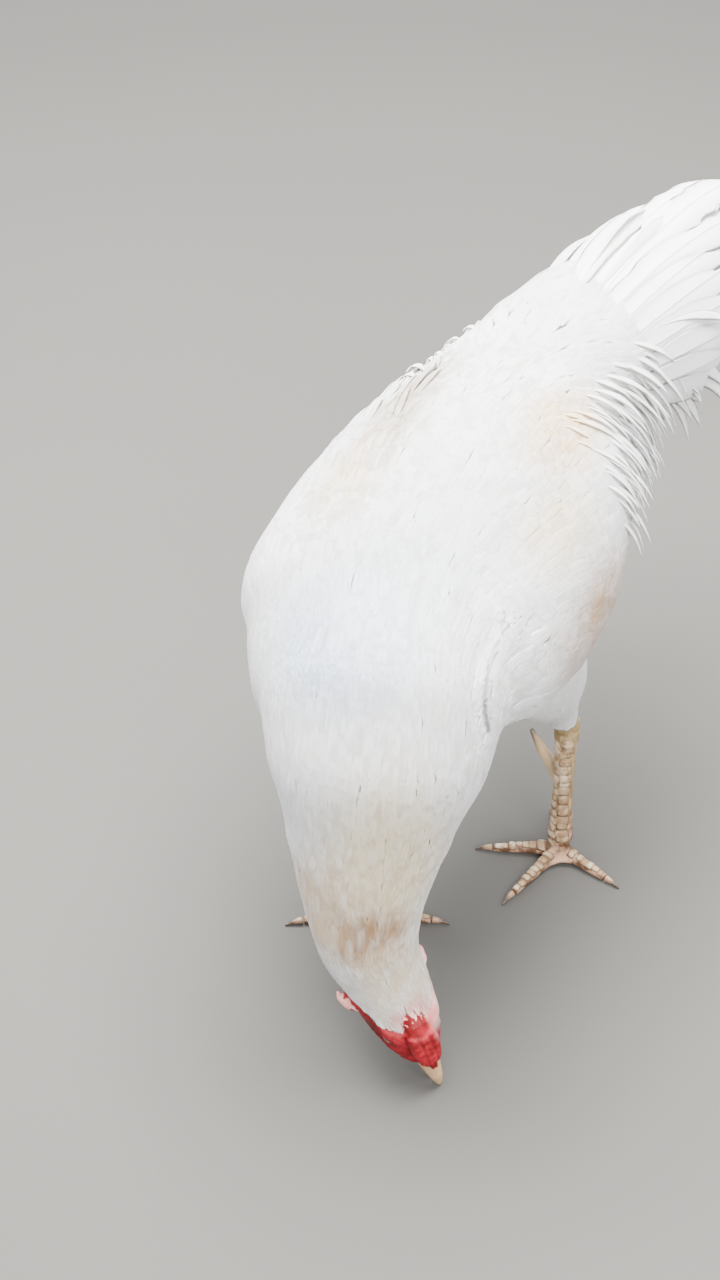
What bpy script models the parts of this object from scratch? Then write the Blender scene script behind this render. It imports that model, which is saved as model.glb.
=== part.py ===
"""An aseel cock pecking at the ground, as closed solids in metres: one object for each part of the bird.

The bird heads along -Y, its left is +X and the ground is Z = 0. It stands on both feet and the tip of its
bill. It is laid out around the midpoint of its feet, and moved at the end so that the middle of the
footprint of its whole box is the origin.
"""

import math

import bmesh
import bpy
from mathutils import Matrix, Vector

# Driving dimensions of the body
GAP = 0.0003
MERGE = 0.000004
SHARPEST_GROWTH = 1.6
FLAT_ANGLE = 0.008
BODY_CENTRE_X = -0.034
BODY_HALF_WIDTH = 0.105
BODY_ADVANCE = -0.021
BODY_LIFT = 0.024
RING_POINTS = 18

# Stations of the trunk: place along Y, middle height, and half width, top and bottom as shares of the
# body's half width
TRUNK_STATIONS = (
    (-0.140, 0.255, 0.30, 0.26, 0.32),
    (-0.126, 0.257, 0.60, 0.48, 0.55),
    (-0.095, 0.262, 0.84, 0.65, 0.77),
    (-0.050, 0.272, 0.98, 0.87, 0.88),
    (0.010, 0.285, 1.02, 1.01, 0.94),
    (0.070, 0.297, 0.96, 1.02, 0.93),
    (0.120, 0.315, 0.86, 0.84, 0.80),
    (0.165, 0.336, 0.72, 0.62, 0.60),
    (0.200, 0.352, 0.56, 0.44, 0.40),
)
TRUNK_CUTS = (-0.050, 0.080)

# Head: where the tip of the bill meets the ground, the way the head points and the way its crown faces
BILL_TIP = Vector((0.0735, -0.1770, 0.0))
BILL_DROP = 0.0052
HEAD_FORWARD = Vector((0.520, -0.060, -0.850)).normalized()
HEAD_UP = Vector((0.700, -0.550, 0.460))
SKULL_HALF_WIDTH = 0.0243
NECK_CUTS = (3, 6)
BODY_SQUARENESS = 2.15
SKULL_SQUARENESS = 2.2

# Stations of the neck, from the shoulders down: middle, half width and half thickness
NECK_STATIONS = (
    (Vector((-0.030, -0.060, 0.316)), 0.084, 0.064),
    (Vector((-0.010, -0.118, 0.291)), 0.089, 0.066),
    (Vector((0.001, -0.144, 0.254)), 0.079, 0.061),
    (Vector((0.001, -0.151, 0.219)), 0.066, 0.054),
    (Vector((0.002, -0.158, 0.183)), 0.054, 0.047),
    (Vector((0.005, -0.166, 0.145)), 0.0445, 0.041),
    (Vector((0.011, -0.173, 0.110)), 0.037, 0.035),
)

# Stations of the head, from the nape forward: distance behind the tip of the bill, and half width, top and
# bottom as shares of the skull's half width
SKULL_STATIONS = (
    (0.108, 1.30, 1.18, 1.16),
    (0.092, 1.24, 1.06, 1.08),
    (0.076, 1.14, 0.94, 1.00),
    (0.060, 1.02, 0.80, 0.94),
    (0.047, 0.88, 0.62, 0.78),
    (0.036, 0.68, 0.44, 0.54),
    (0.028, 0.48, 0.32, 0.40),
)

# Stations of the two halves of the bill, from the root forward: distance behind the tip of the bill, height
# above the head's axis, half width and half thickness
UPPER_BILL_STATIONS = (
    (0.046, 0.0040, 0.0105, 0.0072),
    (0.035, 0.0040, 0.0100, 0.0070),
    (0.022, 0.0035, 0.0080, 0.0060),
    (0.010, 0.0015, 0.0052, 0.0044),
    (0.003, -0.0022, 0.0030, 0.0032),
    (-0.0008, -0.0052, 0.0014, 0.0018),
)
LOWER_BILL_STATIONS = (
    (0.041, -0.0055, 0.0090, 0.0040),
    (0.030, -0.0062, 0.0082, 0.0036),
    (0.018, -0.0072, 0.0060, 0.0028),
    (0.007, -0.0084, 0.0020, 0.0012),
)

# Stations of the comb and of the dewlap, measured as on the bill
COMB_STATIONS = (
    (0.021, 0.0095, 0.0030, 0.0030),
    (0.030, 0.0140, 0.0085, 0.0048),
    (0.042, 0.0185, 0.0120, 0.0062),
    (0.054, 0.0220, 0.0118, 0.0060),
    (0.064, 0.0235, 0.0090, 0.0050),
    (0.072, 0.0225, 0.0030, 0.0022),
)
DEWLAP_STATIONS = (
    (0.046, -0.0150, 0.0030, 0.0020),
    (0.058, -0.0230, 0.0060, 0.0055),
    (0.072, -0.0280, 0.0065, 0.0065),
    (0.086, -0.0300, 0.0030, 0.0030),
)

# Eyes: place behind the tip of the bill, out from the head's axis and above it
EYE_BEHIND = 0.058
EYE_ASIDE = 0.0205
EYE_ABOVE = 0.0050
EYE_RADIUS = 0.0060

# Stations of an ear lobe: distance behind the tip of the bill, out from the head's axis and above it, half
# width and half thickness
LOBE_STATIONS = (
    (0.082, 0.0270, -0.003, 0.0030, 0.0020),
    (0.089, 0.0325, -0.008, 0.0060, 0.0035),
    (0.095, 0.0340, -0.013, 0.0065, 0.0038),
    (0.099, 0.0325, -0.019, 0.0025, 0.0018),
)

# Legs: the joint of shank and toes, the hock and the top of the thigh of each leg
LEFT_FOOT = Vector((0.047, 0.074, 0.012))
LEFT_HOCK = Vector((0.038, 0.092, 0.128))
LEFT_THIGH = Vector((0.024, 0.026, 0.256))
RIGHT_FOOT = Vector((-0.057, -0.062, 0.012))
RIGHT_HOCK = Vector((-0.060, -0.044, 0.128))
RIGHT_THIGH = Vector((-0.086, -0.004, 0.256))
TOE_RADIUS = 0.0058
TOE_ROOT = 0.006
TOE_ROOT_GROWTH = 1.18
TOE_TAPER = 0.50
TOE_SIDES = 10
TOE_SECTIONS = 7
KNUCKLES = 3
KNUCKLE_SIZE = 0.10
SOLE_CUT = 0.88
CLAW_LENGTH = 0.014
CLAW_ROOT = 0.002
CLAW_HALF_WIDTH = 0.0030
CLAW_HALF_THICKNESS = 0.0034
CLAW_TAPER = 0.71
CLAW_TIP_HEIGHT = 0.0009
CLAW_ARCH = 0.0012
CLAW_SECTIONS = 4

# Stations of a shank, from the foot to the hock: share of the way, half width and half thickness
SHANK_START = 0.010
SHANK_START_SIZE = (0.0085, 0.0080)
SHANK_STATIONS = (
    (0.06, 0.0112, 0.0105),
    (0.18, 0.0098, 0.0098),
    (0.45, 0.0085, 0.0092),
    (0.74, 0.0088, 0.0100),
    (0.90, 0.0108, 0.0118),
    (1.00, 0.0100, 0.0110),
)

# Stations of a thigh, from the body to just past the hock: share of the way, half width and half thickness
THIGH_OVERLAP = 0.004
THIGH_STATIONS = (
    (0.00, 0.0340, 0.0500),
    (0.25, 0.0380, 0.0520),
    (0.50, 0.0340, 0.0440),
    (0.72, 0.0260, 0.0320),
    (0.90, 0.0185, 0.0210),
    (1.00, 0.0140, 0.0155),
)

# Spur: its place on the shank, and stations from its root: distance back, inward and up, and radius
SPUR_PLACE = 0.44
SPUR_STATIONS = (
    (0.005, 0.003, 0.000, 0.0062),
    (0.010, 0.013, 0.008, 0.0058),
    (0.013, 0.026, 0.020, 0.0044),
    (0.014, 0.037, 0.036, 0.0018),
)

# Where each toe's claw ends on the ground
LEFT_TOES = {
    "middle": Vector((0.034, 0.000, 0.0)),
    "outer": Vector((0.106, 0.062, 0.0)),
    "inner": Vector((-0.013, 0.044, 0.0)),
    "hind": Vector((0.020, 0.115, 0.0)),
}
RIGHT_TOES = {
    "middle": Vector((-0.012, -0.132, 0.0)),
    "outer": Vector((-0.102, -0.103, 0.0)),
    "inner": Vector((0.008, -0.038, 0.0)),
    "hind": Vector((-0.092, -0.028, 0.0)),
}

# Stations of a folded wing: place along Y, distance out from the body's middle, height, half thickness and
# half height
WING_STATIONS = (
    (-0.090, 0.070, 0.296, 0.008, 0.018),
    (-0.079, 0.076, 0.292, 0.023, 0.038),
    (-0.045, 0.082, 0.288, 0.034, 0.058),
    (0.010, 0.086, 0.296, 0.035, 0.066),
    (0.070, 0.083, 0.308, 0.034, 0.066),
    (0.120, 0.074, 0.322, 0.030, 0.056),
    (0.165, 0.060, 0.336, 0.023, 0.042),
    (0.198, 0.050, 0.346, 0.009, 0.024),
)

# Stations of the long wing feathers that show behind the folded wing
PRIMARY_STATIONS = (
    (0.110, 0.062, 0.296, 0.010, 0.030),
    (0.160, 0.054, 0.306, 0.008, 0.030),
    (0.205, 0.040, 0.318, 0.006, 0.024),
    (0.245, 0.028, 0.330, 0.004, 0.014),
    (0.262, 0.024, 0.335, 0.002, 0.006),
)

# Stations of the saddle hackle that hangs on each side of the rump
SADDLE_STATIONS = (
    (0.060, 0.046, 0.352, 0.012, 0.014),
    (0.088, 0.050, 0.350, 0.024, 0.034),
    (0.130, 0.050, 0.348, 0.031, 0.056),
    (0.175, 0.049, 0.338, 0.032, 0.067),
    (0.215, 0.048, 0.330, 0.028, 0.070),
    (0.245, 0.047, 0.321, 0.018, 0.058),
    (0.266, 0.046, 0.310, 0.007, 0.030),
)

# How far the tops of wings and saddle hackle lean in over the back
WING_LEAN = 0.42
SADDLE_LEAN = 0.45

# Tail: a tent of broad feathers on each side of a ridge
TAIL_ROOT = Vector((-0.022, 0.159, 0.370))
TAIL_RIDGE_LENGTH = 0.250
TAIL_ROOT_RADIUS = 0.044
TAIL_SPREAD = 0.034
TAIL_RISE = 0.10
TAIL_SWING = 0.10
TAIL_FEATHERS = 5
TAIL_THICKNESS = 0.005
TAIL_TIP_THINNING = 0.6
TAIL_SIDE_SHORTENING = 0.54
TAIL_SCALLOP = 0.045
TAIL_DROOP = 0.026
TAIL_FIRST_ANGLE = 4
TAIL_WHOLE_ANGLE = 100
TAIL_ROWS = 5
TAIL_COLUMNS = 3

# Sickle feathers: the root's place beside, behind and above the root of the tail, and stations from there:
# distance out from the ridge, swing to the left, distance back and height
SICKLE_ROOT = (0.010, 0.050, 0.016)
SICKLE_STATIONS = (
    (0.000, 0.000, 0.000, 0.000),
    (0.004, 0.006, 0.075, 0.018),
    (0.010, 0.010, 0.128, -0.014),
    (0.022, 0.012, 0.156, -0.064),
    (0.036, 0.014, 0.170, -0.120),
)
SICKLE_HALF_WIDTH = 0.0105
SICKLE_EDGE = 0.0006
SICKLE_HALF_THICKNESS = 0.0016
SICKLE_STEPS = 3

# Stations of the tail's coverts and of the fluff under it: distance out from the body's middle, place along
# Y, height, half width and half thickness
COVERT_STATIONS = (
    (0.000, 0.120, 0.346, 0.058, 0.046),
    (0.002, 0.165, 0.352, 0.070, 0.055),
    (0.006, 0.215, 0.358, 0.076, 0.059),
    (0.012, 0.265, 0.364, 0.069, 0.059),
    (0.016, 0.298, 0.366, 0.040, 0.050),
)
UNDER_TAIL_STATIONS = (
    (0.000, 0.130, 0.281, 0.050, 0.040),
    (0.000, 0.175, 0.296, 0.046, 0.042),
    (0.002, 0.225, 0.328, 0.036, 0.036),
    (0.006, 0.270, 0.352, 0.024, 0.024),
    (0.010, 0.300, 0.364, 0.008, 0.008),
)

UP = Vector((0, 0, 1))
FORWARD = Vector((0, -1, 0))
BACKWARD = Vector((0, 1, 0))


class Frame:
    """A cross-section's middle and axes: side and up span it, and along points to the next section."""

    def __init__(self, middle, along, up):
        self.middle = middle
        self.along = along.normalized()
        self.side = self.along.cross(up).normalized()
        self.up = self.side.cross(self.along).normalized()

    def ring(self, half_width, top, bottom, power=2.0, count=RING_POINTS):
        """A closed ring, an ellipse for a power of 2 and squarer above it, with its own top and bottom."""
        points = []
        for step in range(count):
            angle = 2 * math.pi * step / count
            across = math.cos(angle)
            height = math.sin(angle)
            across = math.copysign(abs(across) ** (2 / power), across)
            height = math.copysign(abs(height) ** (2 / power), height)
            reach = top if height > 0 else bottom
            points.append(self.middle + self.side * across * half_width + self.up * height * reach)
        return points


def principled(name, colour, roughness):
    """A material of one node: its colour and roughness."""
    material = bpy.data.materials.new(name)
    material.use_nodes = True
    shader = material.node_tree.nodes["Principled BSDF"]
    shader.inputs["Base Color"].default_value = (*colour, 1)
    shader.inputs["Roughness"].default_value = roughness
    shader.inputs["Metallic"].default_value = 0
    material.diffuse_color = (*colour, 1)
    return material


PLUMAGE = ((0.86, 0.85, 0.82), 0.8)
BARE_SKIN = ((0.62, 0.08, 0.07), 0.55)
LOBE_SKIN = ((0.80, 0.55, 0.50), 0.6)
HORN = ((0.70, 0.58, 0.40), 0.45)
SCALE = ((0.66, 0.52, 0.36), 0.6)
EYE = ((0.55, 0.40, 0.20), 0.1)


def face_outward(mesh_data):
    """Turn a closed bmesh's faces outward, also where it is a thin curved shell."""
    bmesh.ops.recalc_face_normals(mesh_data, faces=mesh_data.faces[:])
    if mesh_data.calc_volume(signed=True) < 0:
        bmesh.ops.reverse_faces(mesh_data, faces=mesh_data.faces[:])


def add_object(name, mesh_data, look):
    """A finished bmesh as an object with a material of its own, faces outward and shaded smooth."""
    face_outward(mesh_data)
    mesh = bpy.data.meshes.new(name)
    mesh_data.to_mesh(mesh)
    mesh_data.free()
    mesh.materials.append(principled(name, *look))
    mesh.shade_smooth()
    obj = bpy.data.objects.new(name, mesh)
    bpy.context.collection.objects.link(obj)
    return obj


def loft(rings):
    """A closed bmesh through rings of equal count, capped at both ends."""
    body = bmesh.new()
    loops = [[body.verts.new(point) for point in ring] for ring in rings]
    count = len(rings[0])
    for lower, upper in zip(loops, loops[1:]):
        for index in range(count):
            following = (index + 1) % count
            body.faces.new((lower[index], lower[following], upper[following], upper[index]))
    for loop in (loops[0], loops[-1]):
        cap = body.faces.new(loop)
        bmesh.ops.poke(body, faces=[cap])
    bmesh.ops.triangulate(body, faces=body.faces[:])
    return body


def sweep(points, sizes, up, count=10, power=2.0):
    """A loft along points, where sizes gives each section's half width and half thickness."""
    rings = []
    for index, point in enumerate(points):
        before = points[max(index - 1, 0)]
        after = points[min(index + 1, len(points) - 1)]
        frame = Frame(point, after - before, up)
        half_width, half_thickness = sizes[index]
        rings.append(frame.ring(half_width, half_thickness, half_thickness, power, count))
    return loft(rings)


def curve_points(anchors, count):
    """Points on a smooth curve through the anchors (Catmull-Rom), count of them to each stretch."""
    padded = [2 * anchors[0] - anchors[1], *anchors, 2 * anchors[-1] - anchors[-2]]
    points = []
    for start in range(1, len(padded) - 2):
        before, here, there, after = padded[start - 1:start + 3]
        for step in range(count):
            t = step / count
            points.append(
                0.5 * (2 * here + (there - before) * t
                       + (2 * before - 5 * here + 4 * there - after) * t ** 2
                       + (3 * here - before - 3 * there + after) * t ** 3)
            )
    points.append(anchors[-1])
    return points


def keep_side(mesh_data, point, normal):
    """Cut a closed bmesh with a plane, keep what lies on the normal's side and close the cut."""
    geometry = mesh_data.verts[:] + mesh_data.edges[:] + mesh_data.faces[:]
    cut = bmesh.ops.bisect_plane(
        mesh_data, geom=geometry, plane_co=point, plane_no=normal, clear_inner=True, dist=1e-6
    )
    edges = [item for item in cut["geom_cut"] if isinstance(item, bmesh.types.BMEdge)]
    bmesh.ops.holes_fill(mesh_data, edges=edges)
    bmesh.ops.triangulate(mesh_data, faces=mesh_data.faces[:])


def slab(mesh_data, lower, upper):
    """A copy of a closed bmesh between two planes across the body, given as places along Y."""
    piece = mesh_data.copy()
    if lower is not None:
        keep_side(piece, BACKWARD * (lower + GAP / 2), BACKWARD)
    if upper is not None:
        keep_side(piece, BACKWARD * (upper - GAP / 2), FORWARD)
    return piece


def add_cutter(name, mesh_data):
    """A hidden cutter: a closed bmesh grown by the gap along its normals."""
    grown = mesh_data.copy()
    face_outward(grown)
    grown.normal_update()
    for vertex in grown.verts:
        vertex.co += vertex.normal * GAP * min(vertex.calc_shell_factor(), SHARPEST_GROWTH)
    mesh = bpy.data.meshes.new(f"{name}.cutter")
    grown.to_mesh(mesh)
    grown.free()
    cutter = bpy.data.objects.new(mesh.name, mesh)
    bpy.context.collection.objects.link(cutter)
    cutter.hide_render = True
    cutter.display_type = "WIRE"
    return cutter


def islands(mesh_data):
    """The separate bodies of a bmesh, as lists of faces."""
    unseen = set(mesh_data.faces)
    found = []
    while unseen:
        stack = [unseen.pop()]
        body = []
        while stack:
            face = stack.pop()
            body.append(face)
            for edge in face.edges:
                for neighbour in edge.link_faces:
                    if neighbour in unseen:
                        unseen.remove(neighbour)
                        stack.append(neighbour)
        found.append(body)
    return found


def cut_away(obj, cutters):
    """Take the cutters out of an object one after another, and keep its largest body each time."""
    for cutter in cutters:
        modifier = obj.modifiers.new(cutter.name, "BOOLEAN")
        modifier.operation = "DIFFERENCE"
        modifier.solver = "EXACT"
        modifier.object = cutter
        graph = bpy.context.evaluated_depsgraph_get()
        result = bmesh.new()
        result.from_mesh(obj.evaluated_get(graph).to_mesh())
        obj.modifiers.clear()
        bmesh.ops.remove_doubles(result, verts=result.verts[:], dist=MERGE)
        bmesh.ops.dissolve_limit(
            result, angle_limit=FLAT_ANGLE, verts=result.verts[:], edges=result.edges[:]
        )
        bmesh.ops.triangulate(result, faces=result.faces[:])
        bmesh.ops.dissolve_degenerate(result, edges=result.edges[:], dist=MERGE)
        bodies = sorted(islands(result), key=lambda body: sum(face.calc_area() for face in body))
        for body in bodies[:-1]:
            bmesh.ops.delete(result, geom=body, context="FACES")
        face_outward(result)
        result.to_mesh(obj.data)
        result.free()
    obj.data.shade_smooth()


def add_piece(name, mesh_data, look, cutters=()):
    """An object with the cutters taken out of it, and a cutter of its own whole shape."""
    cutter = add_cutter(name, mesh_data)
    obj = add_object(name, mesh_data, look)
    if cutters:
        cut_away(obj, cutters)
    return obj, cutter


def body_point(aside, along, height):
    """A point by its distance to the left of the body's middle, its place along the body and its height."""
    return Vector((BODY_CENTRE_X + aside, along + BODY_ADVANCE, height + BODY_LIFT))


def trunk_body():
    """The trunk from the breast to the root of the tail, as one loft along Y."""
    rings = []
    for along, height, width, top, bottom in TRUNK_STATIONS:
        middle = body_point(0, along, height)
        frame = Frame(middle, BACKWARD, UP)
        size = BODY_HALF_WIDTH
        rings.append(frame.ring(width * size, top * size, bottom * size, BODY_SQUARENESS))
    return loft(rings)


def add_trunk():
    """Breast, back and rump: the trunk parted by two thin cuts."""
    whole = trunk_body()
    front, back = TRUNK_CUTS
    names = (("breast", None, front), ("back", front, back), ("rump", back, None))
    for name, low, high in names:
        add_object(name, slab(whole, low, high), PLUMAGE)
    cutter = add_cutter("trunk", whole)
    whole.free()
    return cutter


def head_frame(distance):
    """The head's cross-section at a distance behind the tip of the bill."""
    frame = Frame(BILL_TIP, HEAD_FORWARD, HEAD_UP)
    frame.middle = BILL_TIP + frame.up * BILL_DROP - frame.along * distance
    return frame


def neck_and_head_body():
    """One loft down the neck and along the skull to the root of the bill."""
    rings = []
    middles = [station[0] for station in NECK_STATIONS]
    middles.append(head_frame(SKULL_STATIONS[0][0]).middle)
    for index, (middle, half_width, half_thickness) in enumerate(NECK_STATIONS):
        along = middles[index + 1] - middles[max(index - 1, 0)]
        turned = index / len(NECK_STATIONS)
        up = (FORWARD + UP * 0.6).lerp(HEAD_UP, turned)
        rings.append(Frame(middle, along, up).ring(half_width, half_thickness, half_thickness))
    for distance, width, top, bottom in SKULL_STATIONS:
        size = SKULL_HALF_WIDTH
        frame = head_frame(distance)
        rings.append(frame.ring(width * size, top * size, bottom * size, SKULL_SQUARENESS))
    return loft(rings)


def add_neck_and_head(trunk):
    """Lower neck, upper neck and head: one loft, cut free of the trunk and parted by thin cuts."""
    whole = neck_and_head_body()
    planes = []
    for index in NECK_CUTS:
        middle = NECK_STATIONS[index][0]
        planes.append((middle, (middle - NECK_STATIONS[index - 1][0]).normalized()))
    pieces = []
    for name, above, below in (("neck_lower", None, 0), ("neck_upper", 0, 1), ("head", 1, None)):
        piece = whole.copy()
        if above is not None:
            point, normal = planes[above]
            keep_side(piece, point + normal * GAP / 2, normal)
        if below is not None:
            point, normal = planes[below]
            keep_side(piece, point - normal * GAP / 2, -normal)
        pieces.append(add_object(name, piece, PLUMAGE))
    cutter = add_cutter("neck", whole)
    whole.free()
    for piece in pieces[:2]:
        cut_away(piece, [trunk])
    return cutter


def head_point(behind, aside, above):
    """A point by its distance behind the bill's tip, to the bird's left and above the head's axis."""
    frame = head_frame(behind)
    return frame.middle - frame.side * aside + frame.up * above


def head_sweep(stations, count):
    """A sweep along the head's middle, through stations of distance, height and two half sizes."""
    points = [head_point(behind, 0, above) for behind, above, _, _ in stations]
    sizes = [station[2:] for station in stations]
    return sweep(points, sizes, HEAD_UP, count)


def add_face(neck):
    """Bill, comb, eyes, ear lobes and dewlap, each cut free of the head."""
    upper_body = head_sweep(UPPER_BILL_STATIONS, 12)
    stand_on_ground(upper_body)
    upper = add_piece("bill_upper", upper_body, HORN, [neck])[1]
    add_piece("bill_lower", head_sweep(LOWER_BILL_STATIONS, 12), HORN, [neck, upper])
    add_piece("comb", head_sweep(COMB_STATIONS, 12), BARE_SKIN, [neck, upper])
    add_piece("dewlap", head_sweep(DEWLAP_STATIONS, 10), BARE_SKIN, [neck])
    for side, hand in ((1, "left"), (-1, "right")):
        eye = bmesh.new()
        bmesh.ops.create_uvsphere(eye, u_segments=12, v_segments=8, radius=EYE_RADIUS)
        place = head_point(EYE_BEHIND, side * EYE_ASIDE, EYE_ABOVE)
        bmesh.ops.translate(eye, verts=eye.verts, vec=place)
        add_piece(f"eye_{hand}", eye, EYE, [neck])
        points = [head_point(behind, side * aside, above) for behind, aside, above, _, _ in LOBE_STATIONS]
        sizes = [station[3:] for station in LOBE_STATIONS]
        lobe = sweep(points, sizes, head_frame(0).side, 10)
        add_piece(f"ear_lobe_{hand}", lobe, LOBE_SKIN, [neck])


def stand_on_ground(mesh_data):
    """Cut a piece off flat at the ground."""
    keep_side(mesh_data, Vector((0, 0, 0)), UP)


def add_claw(name, root, heading, toe):
    """A claw from inside the end of its toe, arched and flat where it rests."""
    start = root - heading * CLAW_ROOT
    points = []
    sizes = []
    for section in range(CLAW_SECTIONS):
        share = section / (CLAW_SECTIONS - 1)
        arch = CLAW_ARCH * math.sin(share * math.pi)
        height = root.z * (1 - share) + CLAW_TIP_HEIGHT * share + arch
        point = start + heading * (CLAW_LENGTH + CLAW_ROOT) * share
        points.append(Vector((point.x, point.y, height)))
        left = 1 - CLAW_TAPER * share
        sizes.append((CLAW_HALF_WIDTH * left, CLAW_HALF_THICKNESS * left))
    claw = sweep(points, sizes, UP, 8)
    stand_on_ground(claw)
    add_piece(name, claw, HORN, [toe])


def add_toe(hand, toe, foot, tip, cutters):
    """One toe with its pads and knuckles, and the claw at its end, both flat where they rest."""
    under_foot = Vector((foot.x, foot.y, 0))
    path = tip - under_foot
    heading = path.normalized()
    length = path.length - CLAW_LENGTH - TOE_ROOT
    points = []
    sizes = []
    for section in range(TOE_SECTIONS):
        share = section / (TOE_SECTIONS - 1)
        knuckle = 1 + KNUCKLE_SIZE * math.sin(share * KNUCKLES * 2 * math.pi)
        radius = TOE_RADIUS * (TOE_ROOT_GROWTH - TOE_TAPER * share) * knuckle
        points.append(under_foot + heading * (TOE_ROOT + length * share) + UP * radius * SOLE_CUT)
        sizes.append((radius, radius))
    body = sweep(points, sizes, UP, TOE_SIDES)
    stand_on_ground(body)
    cutter = add_piece(f"toe_{toe}_{hand}", body, SCALE, cutters)[1]
    add_claw(f"claw_{toe}_{hand}", points[-1], heading, cutter)
    return cutter


def add_leg(hand, foot, hock, thigh_top, toes, inward, trunk):
    """Thigh, shank, spur, toes and claws of one leg."""
    points = [Vector((foot.x, foot.y, SHANK_START))]
    sizes = [SHANK_START_SIZE]
    for share, half_width, half_thickness in SHANK_STATIONS:
        points.append(foot.lerp(hock, share))
        sizes.append((half_width, half_thickness))
    shank = add_piece(f"shank_{hand}", sweep(points, sizes, FORWARD, 12), SCALE)[1]
    foot_cutters = [shank]
    for toe, tip in toes.items():
        foot_cutters.append(add_toe(hand, toe, foot, tip, foot_cutters))

    spur_root = foot.lerp(hock, SPUR_PLACE)
    points = [spur_root + Vector((inward * aside, back, up)) for back, aside, up, _ in SPUR_STATIONS]
    sizes = [(station[3], station[3]) for station in SPUR_STATIONS]
    add_piece(f"spur_{hand}", sweep(points, sizes, BACKWARD, 10), HORN, [shank])

    end = hock + (hock - thigh_top).normalized() * THIGH_OVERLAP
    points = [thigh_top.lerp(end, station[0]) for station in THIGH_STATIONS]
    sizes = [station[1:] for station in THIGH_STATIONS]
    thigh = sweep(points, sizes, FORWARD, 14)
    return add_piece(f"thigh_{hand}", thigh, PLUMAGE, [trunk, shank])[1]


def side_loft(stations, side, lean_in, power=2.2, count=12):
    """A loft along Y beside the body, from stations measured out from the body's middle.

    lean_in is how far the sections' upper ends lean in over the back, as a slope.
    """
    rings = []
    for along, out, height, half_thickness, half_height in stations:
        middle = body_point(side * out, along, height)
        lean = Vector((side * -lean_in, 0, 1))
        frame = Frame(middle, BACKWARD, lean)
        rings.append(frame.ring(half_thickness, half_height, half_height, power, count))
    return loft(rings)


def tail_grid(side, depth):
    """Points over one side of the tail: rows from the root to the tips, columns from the ridge down.

    depth is how far the grid lies under the outer surface.
    """
    along = Vector((TAIL_SWING, 1, TAIL_RISE)).normalized()
    across = along.cross(UP).normalized()
    upward = across.cross(along).normalized()
    columns = TAIL_FEATHERS * TAIL_COLUMNS
    grid = []
    for row in range(TAIL_ROWS + 1):
        share = row / TAIL_ROWS
        radius = TAIL_ROOT_RADIUS + TAIL_SPREAD * math.sin(share * math.pi * 0.62)
        radius -= depth * (1 - TAIL_TIP_THINNING * share)
        line = []
        for column in range(columns + 1):
            spread = column / columns
            tip = abs(math.sin(math.pi * spread * TAIL_FEATHERS)) ** 0.5
            length = TAIL_RIDGE_LENGTH * (1 - TAIL_SIDE_SHORTENING * spread ** 0.8)
            length *= 1 - TAIL_SCALLOP * (1 - tip)
            angle = math.radians(TAIL_FIRST_ANGLE + TAIL_WHOLE_ANGLE * spread)
            point = TAIL_ROOT + along * length * share
            point += across * side * radius * math.sin(angle)
            point += upward * (radius * math.cos(angle) - TAIL_DROOP * share ** 2)
            line.append(point)
        grid.append(line)
    return grid


def add_tail(cutters):
    """The tail's two sides: broad feathers side by side in a tent, with a scalloped hind edge."""
    sides = []
    for side, hand in ((1, "left"), (-1, "right")):
        sheet = closed_sheet(tail_grid(side, 0), tail_grid(side, TAIL_THICKNESS))
        sides.append(add_piece(f"tail_{hand}", sheet, PLUMAGE, cutters)[1])
    return sides


def closed_sheet(outer, inner):
    """A closed shell between two grids of points of the same size."""
    body = bmesh.new()
    top, bottom = [[[body.verts.new(point) for point in line] for line in grid] for grid in (outer, inner)]
    rows = len(outer) - 1
    columns = len(outer[0]) - 1
    for grid in (top, bottom):
        for row in range(rows):
            for column in range(columns):
                near = grid[row]
                far = grid[row + 1]
                body.faces.new((near[column], near[column + 1], far[column + 1], far[column]))
    for row in range(rows):
        for column in (0, columns):
            body.faces.new((top[row][column], top[row + 1][column],
                            bottom[row + 1][column], bottom[row][column]))
    for column in range(columns):
        for row in (0, rows):
            body.faces.new((top[row][column], top[row][column + 1],
                            bottom[row][column + 1], bottom[row][column]))
    bmesh.ops.triangulate(body, faces=body.faces[:])
    return body


def add_sickles(cutters):
    """The long curved feather on each side of the tail's ridge."""
    aside, back, above = SICKLE_ROOT
    for side, hand in ((1, "left"), (-1, "right")):
        root = TAIL_ROOT + Vector((aside * side, back, TAIL_ROOT_RADIUS + above))
        anchors = [root + Vector((out * side + swing, along, up)) for out, swing, along, up in SICKLE_STATIONS]
        points = curve_points(anchors, SICKLE_STEPS)
        sizes = []
        for index in range(len(points)):
            share = index / (len(points) - 1)
            fullness = math.sin(math.pi * (0.12 + 0.86 * share)) ** 0.6
            sizes.append((SICKLE_HALF_THICKNESS, SICKLE_HALF_WIDTH * fullness + SICKLE_EDGE))
        add_piece(f"sickle_{hand}", sweep(points, sizes, UP + BACKWARD * 0.3, 8), PLUMAGE, cutters)


def add_fluff(name, stations, count, cutters):
    """A soft mass of feathers round the root of the tail, swept through its stations."""
    points = [body_point(*station[:3]) for station in stations]
    sizes = [station[3:] for station in stations]
    return add_piece(name, sweep(points, sizes, UP, count), PLUMAGE, cutters)[1]


def centre_on_box(objects):
    """Move every mesh so that the whole box's bottom centre is the origin."""
    corners = [vertex.co for obj in objects for vertex in obj.data.vertices]
    low = Vector([min(corner[axis] for corner in corners) for axis in range(3)])
    high = Vector([max(corner[axis] for corner in corners) for axis in range(3)])
    shift = Vector((-(low.x + high.x) / 2, -(low.y + high.y) / 2, -low.z))
    for obj in objects:
        obj.data.transform(Matrix.Translation(shift))
    print("moved by", [round(value, 5) for value in shift])


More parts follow.
